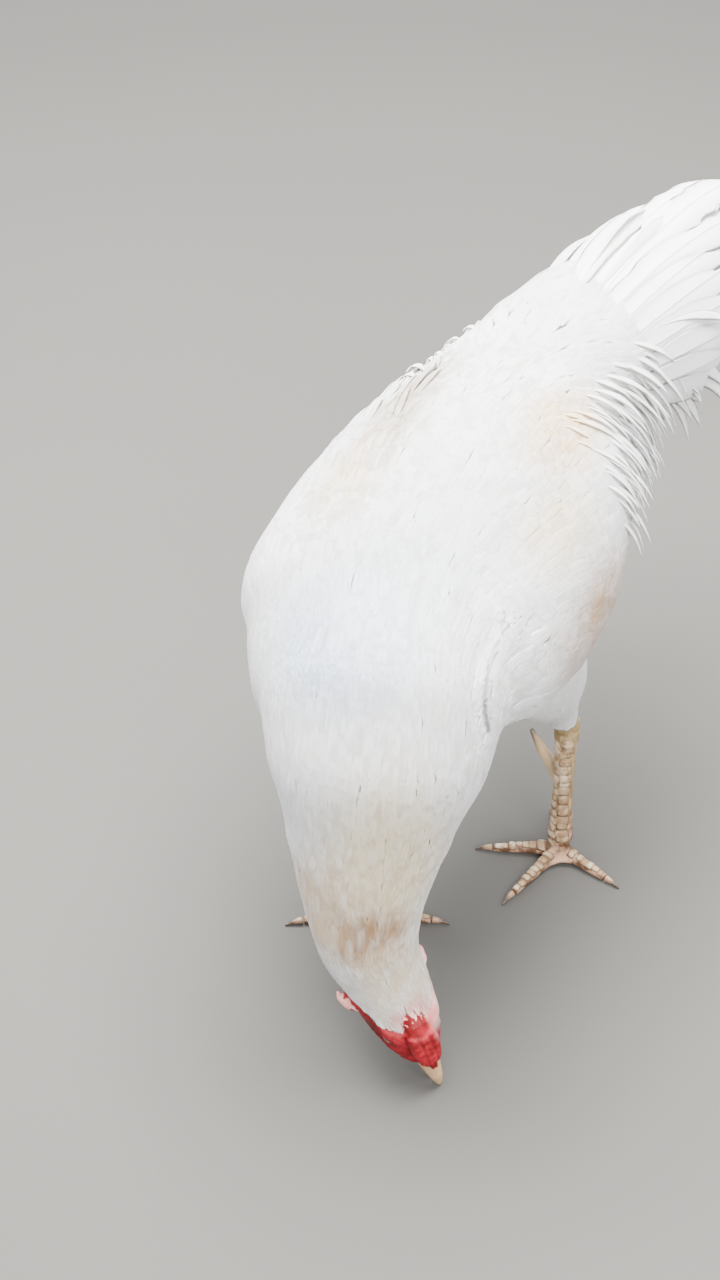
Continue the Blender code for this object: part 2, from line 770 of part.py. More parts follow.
def build():
    """Make the whole bird."""
    for obj in list(bpy.data.objects):
        bpy.data.objects.remove(obj)
    trunk = add_trunk()
    neck = add_neck_and_head(trunk)
    add_face(neck)
    thighs = {
        "left": add_leg("left", LEFT_FOOT, LEFT_HOCK, LEFT_THIGH, LEFT_TOES, -1, trunk),
        "right": add_leg("right", RIGHT_FOOT, RIGHT_HOCK, RIGHT_THIGH, RIGHT_TOES, 1, trunk),
    }
    outer = [trunk]
    for side, hand in ((1, "left"), (-1, "right")):
        wing_body = side_loft(WING_STATIONS, side, WING_LEAN)
        wing = add_piece(f"wing_{hand}", wing_body, PLUMAGE, [trunk, neck, thighs[hand]])[1]
        primary_body = side_loft(PRIMARY_STATIONS, side, WING_LEAN)
        primaries = add_piece(f"primaries_{hand}", primary_body, PLUMAGE, [trunk, wing, thighs[hand]])[1]
        outer += [wing, primaries]
    outer += add_tail(outer)
    outer.append(add_fluff("under_tail", UNDER_TAIL_STATIONS, 12, outer))
    for side, hand in ((1, "left"), (-1, "right")):
        saddle_body = side_loft(SADDLE_STATIONS, side, SADDLE_LEAN)
        outer.append(add_piece(f"saddle_{hand}", saddle_body, PLUMAGE, outer)[1])
    outer.append(add_fluff("tail_coverts", COVERT_STATIONS, 14, outer))
    add_sickles(outer)
    for obj in list(bpy.data.objects):
        if obj.hide_render:
            bpy.data.objects.remove(obj)
    centre_on_box(list(bpy.data.objects))


build()
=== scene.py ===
# %% [markdown]
# # An aseel cock pecking at the ground
# This lesson dresses the plain solids of a white game cock. The solids already have the bird's outline, so
# every step below starts from them: first one skin, then the bare face, the scaled legs, and at last the
# plumage, which is solid vanes laid over the skin in the direction in which real feathers lie.

# %% Load the frame
import math

import bmesh
import bpy
import numpy as np
from mathutils import Matrix, Vector, noise
from mathutils.bvhtree import BVHTree
from mathutils.geometry import intersect_point_line
from mathutils.kdtree import KDTree


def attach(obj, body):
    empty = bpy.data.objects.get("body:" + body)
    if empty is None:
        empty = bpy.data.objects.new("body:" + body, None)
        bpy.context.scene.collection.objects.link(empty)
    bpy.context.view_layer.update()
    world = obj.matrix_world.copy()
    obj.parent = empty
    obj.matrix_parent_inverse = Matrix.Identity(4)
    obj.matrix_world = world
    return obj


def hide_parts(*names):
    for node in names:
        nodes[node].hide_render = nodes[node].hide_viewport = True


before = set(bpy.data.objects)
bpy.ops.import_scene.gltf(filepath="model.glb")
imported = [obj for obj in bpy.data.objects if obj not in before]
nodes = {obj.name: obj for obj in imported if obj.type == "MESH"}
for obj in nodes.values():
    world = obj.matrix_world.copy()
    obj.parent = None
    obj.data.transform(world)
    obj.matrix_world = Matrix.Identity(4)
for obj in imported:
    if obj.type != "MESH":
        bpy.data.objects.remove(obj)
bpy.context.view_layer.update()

# %% [markdown]
# ## Objects and pieces
# Blender keeps an object apart from its mesh, and shows it only once it is linked to a collection. Every part
# made below is such an object, and it also has to be named as a piece of the bird.


# %% Helpers for objects
def place_in_scene(name, data):
    """An object of the given data in the scene."""
    item = bpy.data.objects.new(name, data)
    bpy.context.scene.collection.objects.link(item)
    return item


def add_piece(name, mesh, replaced=()):
    """A piece of the model: it rides on the bird and may stand in for some solids."""
    piece = place_in_scene(name, mesh)
    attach(piece, "root")
    if replaced:
        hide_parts(*replaced)
    return piece


def mesh_from(name, solid):
    """A smooth mesh made of a bmesh, which is freed."""
    mesh = bpy.data.meshes.new(name)
    solid.to_mesh(mesh)
    solid.free()
    mesh.shade_smooth()
    return mesh


# %% [markdown]
# ## The bird's own directions
# The bird heads along -Y and its left is +X. The solids were laid out round the midpoint of the feet and then
# moved to the middle of their box, so places below are written from the feet and moved by the same step.

# %% Name the bird's directions and places
UP = Vector((0, 0, 1))
FEET = Vector((0.02779, -0.09123, 0))
BILL_TIP = FEET + Vector((0.0735, -0.1770, 0))
HEAD_FORWARD = Vector((0.520, -0.060, -0.850)).normalized()
HEAD_SIDE = HEAD_FORWARD.cross(Vector((0.700, -0.550, 0.460))).normalized()
HEAD_UP = HEAD_SIDE.cross(HEAD_FORWARD).normalized()
HEAD_AXIS = BILL_TIP + HEAD_UP * 0.0052
NECK_LINE = [FEET + Vector(point) for point in (
    (-0.030, -0.060, 0.316), (-0.010, -0.118, 0.291), (0.001, -0.144, 0.254), (0.001, -0.151, 0.219),
    (0.002, -0.158, 0.183), (0.005, -0.166, 0.145), (0.011, -0.173, 0.110),
)]
TAIL_ROOT = FEET + Vector((-0.022, 0.159, 0.370))
TAIL_ALONG = Vector((0.10, 1, 0.10)).normalized()


def on_head(behind, aside, above):
    """A point by its distance behind the bill's tip, to the bird's left and above the head's axis."""
    return HEAD_AXIS - HEAD_FORWARD * behind - HEAD_SIDE * aside + HEAD_UP * above


# %% [markdown]
# ## Camera
# The photograph looks down on the bird by 40 degrees, from in front and to its left, 1.27 m over the ground.
# The lens is given by the picture's long side, and the camera's place comes from the feet.

# %% Place the camera
SENSOR = 36
LENS = 61.875
CAMERA_PLACE = FEET + Vector((0.5303, -1.0818, 1.266))
CAMERA_PITCH = math.radians(40)
CAMERA_YAW = math.radians(30)

camera_data = bpy.data.cameras.new("camera")
camera_data.lens = LENS
camera_data.sensor_width = SENSOR
camera = place_in_scene("camera", camera_data)
camera.location = CAMERA_PLACE
camera.rotation_euler = (math.pi / 2 - CAMERA_PITCH, 0, CAMERA_YAW)
bpy.context.scene.camera = camera
print("camera at", [round(value, 3) for value in camera.location])

# %% [markdown]
# ## Helpers for finishes
# Every finish below is a small network of shader nodes. Each helper adds one node, links or fills its inputs
# and gives its output, so that a network reads like a sum.


# %% Helpers for shader nodes
def new_group(name, inputs, outputs):
    """A shader node group with named sockets, and its input and output nodes."""
    group = bpy.data.node_groups.new(name, "ShaderNodeTree")
    for socket, value in inputs:
        item = group.interface.new_socket(socket, in_out="INPUT", socket_type="NodeSocketFloat")
        item.default_value = value
    for socket, kind in outputs:
        group.interface.new_socket(socket, in_out="OUTPUT", socket_type=kind)
    return group, group.nodes.new("NodeGroupInput"), group.nodes.new("NodeGroupOutput")


def add_math(tree, operation, first, second=0.5, third=0.5):
    """A Math node; its inputs are numbers or sockets. It gives its output."""
    node = tree.nodes.new("ShaderNodeMath")
    node.operation = operation
    for socket, value in zip(node.inputs, (first, second, third)):
        if isinstance(value, (int, float)):
            socket.default_value = value
        else:
            tree.links.new(value, socket)
    return node.outputs[0]


def add_mix(tree, factor, first, second, blend="MIX"):
    """A colour Mix node; colours and factor are values or sockets. It gives its output."""
    node = tree.nodes.new("ShaderNodeMix")
    node.data_type = "RGBA"
    node.blend_type = blend
    for socket, value in ((node.inputs[0], factor), (node.inputs[6], first), (node.inputs[7], second)):
        if isinstance(value, (int, float)):
            socket.default_value = value
        elif isinstance(value, tuple):
            socket.default_value = (*value, 1)
        else:
            tree.links.new(value, socket)
    return node.outputs[2]


def add_noise(tree, place, scale, detail=3, stretch=(1, 1, 1)):
    """Noise at a place, as a value of about 0.3 to 0.7."""
    mapping = tree.nodes.new("ShaderNodeMapping")
    mapping.inputs["Scale"].default_value = stretch
    tree.links.new(place, mapping.inputs["Vector"])
    node = tree.nodes.new("ShaderNodeTexNoise")
    node.inputs["Scale"].default_value = scale
    node.inputs["Detail"].default_value = detail
    tree.links.new(mapping.outputs["Vector"], node.inputs["Vector"])
    return node.outputs["Fac"]


def add_range(tree, value, low, high, to_low=0.0, to_high=1.0):
    """A value spread from one range to another, and held at its ends."""
    node = tree.nodes.new("ShaderNodeMapRange")
    node.interpolation_type = "SMOOTHSTEP"
    for socket, number in zip(node.inputs[1:5], (low, high, to_low, to_high)):
        socket.default_value = number
    tree.links.new(value, node.inputs[0])
    return node.outputs[0]


def add_attribute(tree, name):
    """An attribute of the mesh."""
    node = tree.nodes.new("ShaderNodeAttribute")
    node.attribute_name = name
    return node


def object_place(tree):
    """Object coordinates."""
    return tree.nodes.new("ShaderNodeTexCoord").outputs["Object"]


def add_bump(tree, shader, height, distance, strength=1.0):
    """Feed a height to the shader's normal."""
    node = tree.nodes.new("ShaderNodeBump")
    node.inputs["Distance"].default_value = distance
    node.inputs["Strength"].default_value = strength
    tree.links.new(height, node.inputs["Height"])
    tree.links.new(node.outputs["Normal"], shader.inputs["Normal"])


def new_material(name, roughness, sheen=0.0, subsurface=0.0):
    """A material with its shader's constant values set; gives the material, its tree and its shader."""
    material = bpy.data.materials.new(name)
    material.use_nodes = True
    shader = material.node_tree.nodes["Principled BSDF"]
    shader.inputs["Roughness"].default_value = roughness
    shader.inputs["Sheen Weight"].default_value = sheen
    shader.inputs["Sheen Roughness"].default_value = 0.6
    shader.inputs["Subsurface Weight"].default_value = subsurface
    shader.inputs["Subsurface Radius"].default_value = (1.0, 0.35, 0.2)
    shader.inputs["Subsurface Scale"].default_value = 0.004
    return material, material.node_tree, shader


# %% [markdown]
# ## Floor and light
# The bird stands in open shade, in slightly cool light with no hard shadow. A pale floor, a pale world and
# three large soft lamps give the same, with the brightest light from above.

# %% Lay the floor and hang the lamps
FLOOR_HALF = 3.0
FLOOR_COLOUR = (0.070, 0.067, 0.062)
SKY_COLOUR = (0.92, 0.95, 1.0)
SKY_STRENGTH = 1.8


def add_lamp(name, place, target, size, power, colour):
    """A square soft lamp that looks at a point."""
    light = bpy.data.lights.new(name, "AREA")
    light.size = size
    light.energy = power
    light.color = colour
    lamp = place_in_scene(name, light)
    lamp.location = place
    lamp.rotation_euler = (Vector(target) - Vector(place)).to_track_quat("-Z", "Y").to_euler()


square = bmesh.new()
bmesh.ops.create_grid(square, x_segments=1, y_segments=1, size=FLOOR_HALF)
floor_mesh = mesh_from("floor", square)
floor_material, tree, shader = new_material("pale floor", 0.9)
darker = tuple(part * 0.94 for part in FLOOR_COLOUR)
colour = add_mix(tree, add_noise(tree, object_place(tree), 3, 6), darker, FLOOR_COLOUR)
tree.links.new(colour, shader.inputs["Base Color"])
floor_mesh.materials.append(floor_material)
floor = place_in_scene("floor", floor_mesh)

world = bpy.data.worlds.new("sky")
world.use_nodes = True
sky = world.node_tree.nodes["Background"]
sky.inputs["Color"].default_value = (*SKY_COLOUR, 1)
sky.inputs["Strength"].default_value = SKY_STRENGTH
bpy.context.scene.world = world

add_lamp("top lamp", (-0.3, 0.2, 2.2), (0, 0, 0.2), 1.8, 540, (1.0, 0.98, 0.95))
add_lamp("front lamp", (1.6, -1.4, 1.6), (0, -0.1, 0.2), 1.2, 100, (1.0, 0.96, 0.91))
add_lamp("side lamp", (-1.8, -0.6, 1.2), (0, 0, 0.2), 1.2, 18, (0.92, 0.96, 1.0))
print("floor, sky and three lamps")

# %% [markdown]
# ## Finishes
# White plumage is never one white. This bird is cream on the neck, tan at the nape, cream over the saddle and
# peach with some dust along the wing's edge. The blue-grey on the breast is painted cool shade, and a dark
# line along the wing's front edge is a painted shadow. The patches are soft balls of colour at places on the
# body, torn by noise. The same node group colours skin and feathers, so that a gap between two feathers never
# shows another colour.

# %% Paint the plumage's markings and painted shade
WHITE = (0.93, 0.925, 0.905)
TEAR_WIDTH = 0.016
# Place, half size in X, Y and Z, colour, strength and how much the noise tears the patch
MARKINGS_AND_SHADE = (
    ((0.070, -0.285, 0.205), (0.075, 0.065, 0.120), (1.00, 0.80, 0.46), 1.00, 0.2),
    ((0.056, -0.290, 0.142), (0.058, 0.045, 0.046), (0.36, 0.14, 0.020), 1.00, 0.40),
    ((0.015, -0.285, 0.160), (0.045, 0.060, 0.070), (0.72, 0.47, 0.24), 0.95, 0.5),
    ((-0.055, -0.060, 0.412), (0.040, 0.115, 0.040), (0.36, 0.28, 0.18), 1.00, 0.40),
    ((-0.062, -0.122, 0.392), (0.044, 0.060, 0.040), (0.84, 0.65, 0.44), 1.00, 0.5),
    ((0.056, -0.020, 0.408), (0.044, 0.066, 0.045), (0.90, 0.58, 0.27), 1.00, 0.3),
    ((0.084, -0.082, 0.374), (0.038, 0.060, 0.045), (0.92, 0.74, 0.50), 1.00, 0.3),
    ((0.124, -0.064, 0.296), (0.040, 0.110, 0.085), (0.42, 0.20, 0.07), 1.00, 0.25),
    # The next two balls are painted cool shade on the breast: blue-grey low on it and pale blue higher up
    ((-0.010, -0.235, 0.345), (0.095, 0.080, 0.065), (0.44, 0.56, 0.78), 0.85, 0.1),
    ((0.020, -0.190, 0.372), (0.080, 0.100, 0.065), (0.80, 0.86, 0.95), 0.70, 0.1),
    ((0.070, -0.272, 0.100), (0.052, 0.052, 0.052), (0.84, 0.66, 0.42), 0.90, 0.35),
    ((0.086, -0.274, 0.070), (0.030, 0.028, 0.022), (0.85, 0.33, 0.29), 0.95, 0.2),
    ((0.000, 0.070, 0.300), (0.090, 0.100, 0.060), (0.84, 0.76, 0.64), 0.45, 0.8),
)

# The front edge of the left wing, where it stands over the breast and along which a shadow line is painted
CREASE_LINE = [Vector(point) for point in (
    (0.088, -0.165, 0.350), (0.089, -0.184, 0.338), (0.092, -0.198, 0.331), (0.096, -0.208, 0.322),
    (0.099, -0.212, 0.312), (0.102, -0.212, 0.299),
)]
# The way out of the body there, along which distances count for little
CREASE_OUTWARD = Vector((0.65, -0.45, 0.60)).normalized()
CREASE_FLATNESS = 0.85


def add_vector(tree, operation, first, second, output=0):
    """Arithmetic on two vectors."""
    node = tree.nodes.new("ShaderNodeVectorMath")
    node.operation = operation
    for socket, value in zip(node.inputs, (first, second)):
        if isinstance(value, bpy.types.NodeSocket):
            tree.links.new(value, socket)
        else:
            socket.default_value = value
    return node.outputs[output]


def flattened(vector):
    """A vector with most of its outward part taken away."""
    return vector - CREASE_OUTWARD * vector.dot(CREASE_OUTWARD) * CREASE_FLATNESS


def painted_crease_shadow(tree, place):
    """Mask of the painted shadow line: 1 where the wing's front edge meets the breast, 0 a few millimetres
    off.
    """
    depth = add_vector(tree, "DOT_PRODUCT", place, CREASE_OUTWARD * CREASE_FLATNESS, 1)
    flat = add_vector(tree, "SUBTRACT", place, add_vector(tree, "MULTIPLY", depth, CREASE_OUTWARD))
    nearest = None
    for start, end in zip(CREASE_LINE, CREASE_LINE[1:]):
        start, step = flattened(start), flattened(end - start)
        offset = add_vector(tree, "SUBTRACT", flat, start)
        share = add_vector(tree, "DOT_PRODUCT", offset, step / step.length_squared, 1)
        share = add_math(tree, "MINIMUM", add_math(tree, "MAXIMUM", share, 0), 1)
        away = add_vector(tree, "DISTANCE", offset, add_vector(tree, "MULTIPLY", share, step), 1)
        nearest = away if nearest is None else add_math(tree, "MINIMUM", nearest, away)
    line = add_range(tree, nearest, 0.0004, 0.0030, 0.85, 0)
    height = add_vector(tree, "DOT_PRODUCT", place, UP, 1)
    return add_math(tree, "MULTIPLY", line, add_range(tree, height, 0.350, 0.322, 0, 1))


markings_and_shade, _, markings_and_shade_out = new_group("plumage markings", (), (("Color", "NodeSocketColor"),))
place = object_place(markings_and_shade)
torn = markings_and_shade.nodes.new("ShaderNodeTexNoise")
torn.inputs["Scale"].default_value = 45
torn.inputs["Detail"].default_value = 2
markings_and_shade.links.new(place, torn.inputs["Vector"])
shift = add_vector(markings_and_shade, "SUBTRACT", torn.outputs["Color"], (0.5, 0.5, 0.5))
moved = add_vector(markings_and_shade, "ADD", place, add_vector(markings_and_shade, "MULTIPLY", shift, [TEAR_WIDTH] * 3))
streaks = add_noise(markings_and_shade, place, 26, 4, (6, 1.2, 1.2))
cloud = add_noise(markings_and_shade, place, 9, 3)
colour = add_mix(markings_and_shade, add_range(markings_and_shade, cloud, 0.35, 0.65, 0, 0.5), WHITE, (0.86, 0.865, 0.86))
for centre, half, patch_colour, strength, tear in MARKINGS_AND_SHADE:
    mapping = markings_and_shade.nodes.new("ShaderNodeMapping")
    mapping.inputs["Location"].default_value = [-part / size for part, size in zip(centre, half)]
    mapping.inputs["Scale"].default_value = [1 / size for size in half]
    markings_and_shade.links.new(moved, mapping.inputs["Vector"])
    ball = markings_and_shade.nodes.new("ShaderNodeTexGradient")
    ball.gradient_type = "SPHERICAL"
    markings_and_shade.links.new(mapping.outputs["Vector"], ball.inputs["Vector"])
    soft = add_range(markings_and_shade, ball.outputs["Fac"], 0.0, 0.75, 0, strength)
    tearing = add_range(markings_and_shade, streaks, 0.36, 0.58, 1 - tear, 1)
    colour = add_mix(markings_and_shade, add_math(markings_and_shade, "MULTIPLY", soft, tearing), colour, patch_colour)
# Painted shadow: a dark blue-grey line along the wing's front edge, where it stands over the breast
colour = add_mix(markings_and_shade, painted_crease_shadow(markings_and_shade, place), colour, (0.07, 0.08, 0.11))
markings_and_shade.links.new(colour, markings_and_shade_out.inputs["Color"])
print("markings:", len(MARKINGS_AND_SHADE), "patches on white")

# %% [markdown]
# ## Barbs
# A vane is made of hundreds of fine barbs that leave its shaft at an angle. They are far too fine for mesh,
# so they are lines in a bump. The map Vane holds the distance from the shaft and from the root.

# %% Draw barbs and shaft
BARBS_PER_UNIT = 95
CLUMPS_PER_UNIT = 13
barbs, barbs_in, barbs_out = new_group("barbs", (("Angle", 0.9),), (("Height", "NodeSocketFloat"),))
vane_map = barbs.nodes.new("ShaderNodeUVMap")
vane_map.uv_map = "Vane"
parts = barbs.nodes.new("ShaderNodeSeparateXYZ")
barbs.links.new(vane_map.outputs["UV"], parts.inputs["Vector"])
from_shaft = add_math(barbs, "ABSOLUTE", parts.outputs["X"])
slant = add_math(barbs, "MULTIPLY", from_shaft, barbs_in.outputs["Angle"])
line = add_math(barbs, "SUBTRACT", parts.outputs["Y"], slant)
waves = add_math(barbs, "SINE", add_math(barbs, "MULTIPLY", line, BARBS_PER_UNIT))
shaft = add_range(barbs, from_shaft, 0.02, 0.075, 1, 0)
clumps = add_math(barbs, "SINE", add_math(barbs, "MULTIPLY", line, CLUMPS_PER_UNIT))
height = add_math(barbs, "MULTIPLY_ADD", clumps, 0.6, waves)
barbs.links.new(add_math(barbs, "MULTIPLY_ADD", shaft, 2.5, height), barbs_out.inputs["Height"])
print("barbs every", round(0.01 * 2 * math.pi / BARBS_PER_UNIT * 1000, 2), "mm")


# %% Make the plumage's material
def use_group(tree, group):
    """Place a node group in a material."""
    node = tree.nodes.new("ShaderNodeGroup")
    node.node_tree = group
    return node


def plumage_material(name, bump_distance):
    """White feathers with the markings and painted shade, a slightly different white on each, and barbs."""
    material, tree, shader = new_material(name, 0.62, sheen=0.15, subsurface=0.6)
    shader.inputs["Subsurface Radius"].default_value = (1.0, 0.9, 0.8)
    shader.inputs["Subsurface Scale"].default_value = 0.006
    colour = use_group(tree, markings_and_shade).outputs["Color"]
    tint = add_attribute(tree, "tint").outputs["Fac"]
    shade = add_range(tree, tint, 0, 1, 0.0, 0.16)
    colour = add_mix(tree, shade, colour, (0.74, 0.72, 0.68))
    along = add_attribute(tree, "along").outputs["Fac"]
    root = add_range(tree, along, 0.0, 0.45, 0.12, 0.0)
    colour = add_mix(tree, root, colour, (0.78, 0.76, 0.74))
    tree.links.new(colour, shader.inputs["Base Color"])
    fine = use_group(tree, barbs)
    tree.links.new(add_range(tree, tint, 0, 1, 0.55, 0.72), shader.inputs["Roughness"])
    add_bump(tree, shader, fine.outputs["Height"], bump_distance, 0.5)
    return material


soft_plumage = plumage_material("soft plumage", 0.00012)
firm_plumage = plumage_material("firm plumage", 0.00020)
print("plumage materials:", soft_plumage.name, "and", firm_plumage.name)

# %% [markdown]
# ## One skin
# On the real bird one skin runs from the face to the toes. The solids of flesh are separate, so they are
# swollen until they touch, joined by a voxel remesh, smoothed, and drawn in by the depth of the coat, which
# leaves room for the feathers. The trunk's skin is coarse because feathers hide it, and the head's and the
# legs' skin is fine.

# %% Helpers for solids of flesh
SWELL = 0.0006
TRUNK_NODES = ("breast", "back", "rump")
PAIRS = ("left", "right")
BODY_NODES = [*TRUNK_NODES, "neck_lower", "neck_upper", "tail_coverts", "under_tail"]
BODY_NODES += [f"{part}_{hand}" for part in ("wing", "saddle", "thigh") for hand in PAIRS]
HEAD_NODES = ["head", "neck_upper", "neck_lower", "comb", "dewlap", "ear_lobe_left", "ear_lobe_right"]
TOES = ("middle", "outer", "inner", "hind")
LEG_NODES = {hand: [f"shank_{hand}", *[f"toe_{toe}_{hand}" for toe in TOES]] for hand in PAIRS}
FLESH_NODES = list(dict.fromkeys((*BODY_NODES, *HEAD_NODES, *LEG_NODES["left"], *LEG_NODES["right"])))


def merged_copy(name):
    """A node's solid as a bmesh, with its loose triangles merged."""
    solid = bmesh.new()
    solid.from_mesh(nodes[name].data)
    bmesh.ops.remove_doubles(solid, verts=solid.verts[:], dist=0.00001)
    return solid


def push(solid, depth):
    """Move every vertex out along its normal."""
    solid.normal_update()
    for vertex in solid.verts:
        vertex.co += vertex.normal * depth


def add_to(whole, part):
    """Put one bmesh into another and free it."""
    mesh = mesh_from("part", part)
    whole.from_mesh(mesh)
    bpy.data.meshes.remove(mesh)


def swollen(names):
    """The named solids in one bmesh, each a little larger than it was."""
    whole = bmesh.new()
    for name in names:
        part = merged_copy(name)
        push(part, SWELL)
        add_to(whole, part)
    return whole


def evaluated(solid, change):
    """A bmesh with one modifier applied; the function change sets the modifier up. The bmesh is freed."""
    helper = place_in_scene("flesh", mesh_from("flesh", solid))
    change(helper)
    graph = bpy.context.evaluated_depsgraph_get()
    result = bmesh.new()
    result.from_mesh(helper.evaluated_get(graph).to_mesh())
    bpy.data.objects.remove(helper)
    return result


def remeshed(solid, voxel):
    """A bmesh of evenly sized faces round everything in another one."""
    def change(helper):
        modifier = helper.modifiers.new("union", "REMESH")
        modifier.mode = "VOXEL"
        modifier.voxel_size = voxel
    return evaluated(solid, change)


def smooth(solid, times, verts=None):
    """Even a bmesh out, or some vertices of it."""
    for _ in range(times):
        bmesh.ops.smooth_vert(solid, verts=verts or solid.verts[:], factor=0.5,
                              use_axis_x=True, use_axis_y=True, use_axis_z=True)


def smooth_step(low, high, value):
    """From 0 to 1 as the value goes from low to high, without a kink."""
    share = min(max((value - low) / (high - low), 0), 1)
    return share * share * (3 - 2 * share)


def bump(value, centre, width):
    """A bell curve of height 1."""
    return math.exp(-((value - centre) / width) ** 2)


def head_place(point):
    """Distance behind the bill's tip, to the bird's left and above the head's axis."""
    offset = point - HEAD_AXIS
    return -offset.dot(HEAD_FORWARD), -offset.dot(HEAD_SIDE), offset.dot(HEAD_UP)


# %% Remember which solid each place belongs to
region_points = []
region_names = []
for name in FLESH_NODES:
    copy = merged_copy(name)
    bmesh.ops.subdivide_edges(copy, edges=[edge for edge in copy.edges if edge.calc_length() > 0.012], cuts=2)
    for vertex in copy.verts:
        region_points.append(vertex.co.copy())
        region_names.append(name)
    copy.free()
region_tree = KDTree(len(region_points))
for index, point in enumerate(region_points):
    region_tree.insert(point, index)
region_tree.balance()


def region_of(name):
    """The region that a node belongs to: its name without its side."""
    return name.removesuffix("_left").removesuffix("_right")


print(len(region_points), "places on", len(set(region_names)), "solids")


# %% Draw the trunk's skin in under its feathers
CREASE_RISE = 0.0018
CREASE_SINK = 0.0058
BEHIND_CREASE = Vector((0.35, 0.94, 0))


def wing_edge(point, normal):
    """How far the skin moves at the wing's front edge: in on the breast, and a little out on the wing."""
    nearest = None
    for start, end in zip(CREASE_LINE, CREASE_LINE[1:]):
        _, share = intersect_point_line(point, start, end)
        offset = point - start.lerp(end, min(max(share, 0), 1))
        offset -= normal * offset.dot(normal)
        beyond = max(-share, share - 1, 0) * (end - start).length
        if nearest is None or offset.length < nearest[0].length:
            nearest = offset, beyond
    offset, beyond = nearest
    behind = offset.dot(BEHIND_CREASE)
    fade = bump(beyond, 0, 0.008) * bump(offset.length, 0, 0.022)
    rise = CREASE_RISE * smooth_step(-0.001, 0.003, behind)
    sink = CREASE_SINK * smooth_step(0.002, -0.002, behind)
    return (rise - sink) * fade


BODY_VOXEL = 0.0036
# How much slimmer the trunk's skin gets down in the neck, low on the breast and towards the tail's end
NECK_TAPER = 0.014
BREAST_TAPER = 0.004
TAIL_TAPER = 0.0045
NECK_BACK = -0.19
COAT_DEPTH = {"breast": 0.0042, "back": 0.0045, "rump": 0.0055, "neck_lower": 0.0050, "neck_upper": 0.0050,
              "head": 0.0050, "wing": 0.0040, "saddle": 0.0070, "tail_coverts": 0.0062, "under_tail": 0.0062,
              "thigh": 0.0050}
body = remeshed(swollen(BODY_NODES), BODY_VOXEL)
smooth(body, 6)
body.normal_update()
for vertex in body.verts:
    near = region_tree.find_n(vertex.co, 5)
    depths = [COAT_DEPTH.get(region_of(region_names[index]), 0.006) for _, index, _ in near]
    if vertex.co.y < NECK_BACK:
        slimmer = NECK_TAPER * smooth_step(0.196, 0.152, vertex.co.z)
    else:
        slimmer = BREAST_TAPER * smooth_step(0.196, 0.150, vertex.co.z)
    slimmer += TAIL_TAPER * smooth_step(0.000, 0.055, (vertex.co - TAIL_ROOT).dot(TAIL_ALONG))
    vertex.co -= vertex.normal * (SWELL + sum(depths) / len(depths) + slimmer)
body = remeshed(body, BODY_VOXEL)
smooth(body, 14)
body.normal_update()
for vertex in body.verts:
    vertex.co += vertex.normal * wing_edge(vertex.co, vertex.normal)
smooth(body, 1)
print("skin of the trunk:", len(body.verts), "vertices")

# %% [markdown]
# ## The head's skin
# A game cock's head is a broad wedge. Its brow overhangs the eye, each eye sits in a hollow between two
# lids, and the comb is a low one in three rows of knobs, so flat that it hangs over the root of the bill.
# Such forms are small beside the head, so they are raised and sunk on a fine skin by formulas of the place.

# %% Shape brow, lids, comb and folds
HEAD_VOXEL = 0.00095
# The head's skin ends in a stub inside the neck: heights where it starts and ends, and how much it narrows
STUB_START = 0.200
STUB_TOP = 0.240
STUB_TAPER = 0.45
# How deep the skin lies under the solids' surface
FACE_DEPTH = 0.0008
CROWN_DEPTH = 0.0022
STUB_DEPTH = 0.0050
LOBE_DEPTH = 0.0012
NAPE_SMOOTHING = 40
BROW_HEIGHT = 0.0029
CHEEK_HEIGHT = 0.0012
SOCKET_DEPTH = 0.0020
EYE_BEHIND = 0.058
EYE_ASIDE = 0.0163
EYE_ABOVE = 0.0050
# How far the feathers come round the head from the crown, in degrees, at distances behind the bill's tip
FEATHER_EDGE = ((0.052, 0), (0.060, 34), (0.068, 52), (0.078, 60), (0.088, 68), (0.097, 92), (0.105, 140),
                (0.112, 200))


def feathered(behind, aside, above):
    """1 where the head wears feathers and 0 on the bare face."""
    turned = math.degrees(math.atan2(abs(aside), above))
    edge = FEATHER_EDGE[-1][1]
    for (start, low), (end, high) in zip(FEATHER_EDGE, FEATHER_EDGE[1:]):
        if behind < end:
            share = max((behind - start) / (end - start), 0)
            edge = low + (high - low) * share
            break
    return smooth_step(-7, 5, edge - turned)


def knobs(behind, aside):
    """Height of the comb's knobs in three rows."""
    height = 0
    for row, size in ((-0.0078, 0.0008), (0, 0.0014), (0.0078, 0.0008)):
        profile = bump(aside, row, 0.0032)
        height += size * profile * (0.75 + 0.35 * math.cos(behind * 1150 + row * 300))
    return height - 0.0011 * (bump(aside, -0.0040, 0.0011) + bump(aside, 0.0040, 0.0011))


def face_relief(point, behind, aside, above):
    """How far the bare face stands out at a place, with a brow, a socket, lids and folds."""
    side = 1 if aside > 0 else -1
    reach = smooth_step(0.008, 0.013, abs(aside))
    brow_line = EYE_ABOVE + 0.0092 - 0.10 * (behind - EYE_BEHIND)
    brow = BROW_HEIGHT * bump(above, brow_line, 0.0032) * bump(behind, EYE_BEHIND + 0.001, 0.013) * reach
    cheek = CHEEK_HEIGHT * bump(above, -0.010, 0.006) * bump(behind, 0.066, 0.016) * reach
    across = (behind - EYE_BEHIND) / 1.18
    upright = (above - EYE_ABOVE) * 1.12
    apart = math.hypot(across, upright)
    socket = SOCKET_DEPTH * smooth_step(0.0105, 0.0050, apart) * reach
    lids = (0.0013 * bump(apart, 0.0066, 0.0010) + 0.0006 * bump(apart, 0.0092, 0.0008)) * reach
    fold_place = point * 260 + Vector((side * 9, 0, 0))
    folds = 0.00040 * noise.noise(fold_place) + 0.00022 * noise.noise(point * 620)
    rings = math.sin(apart * 3600 + 3 * noise.noise(point * 180)) * bump(apart, 0.013, 0.006)
    return brow + cheek - socket + lids + folds + 0.00026 * rings * reach


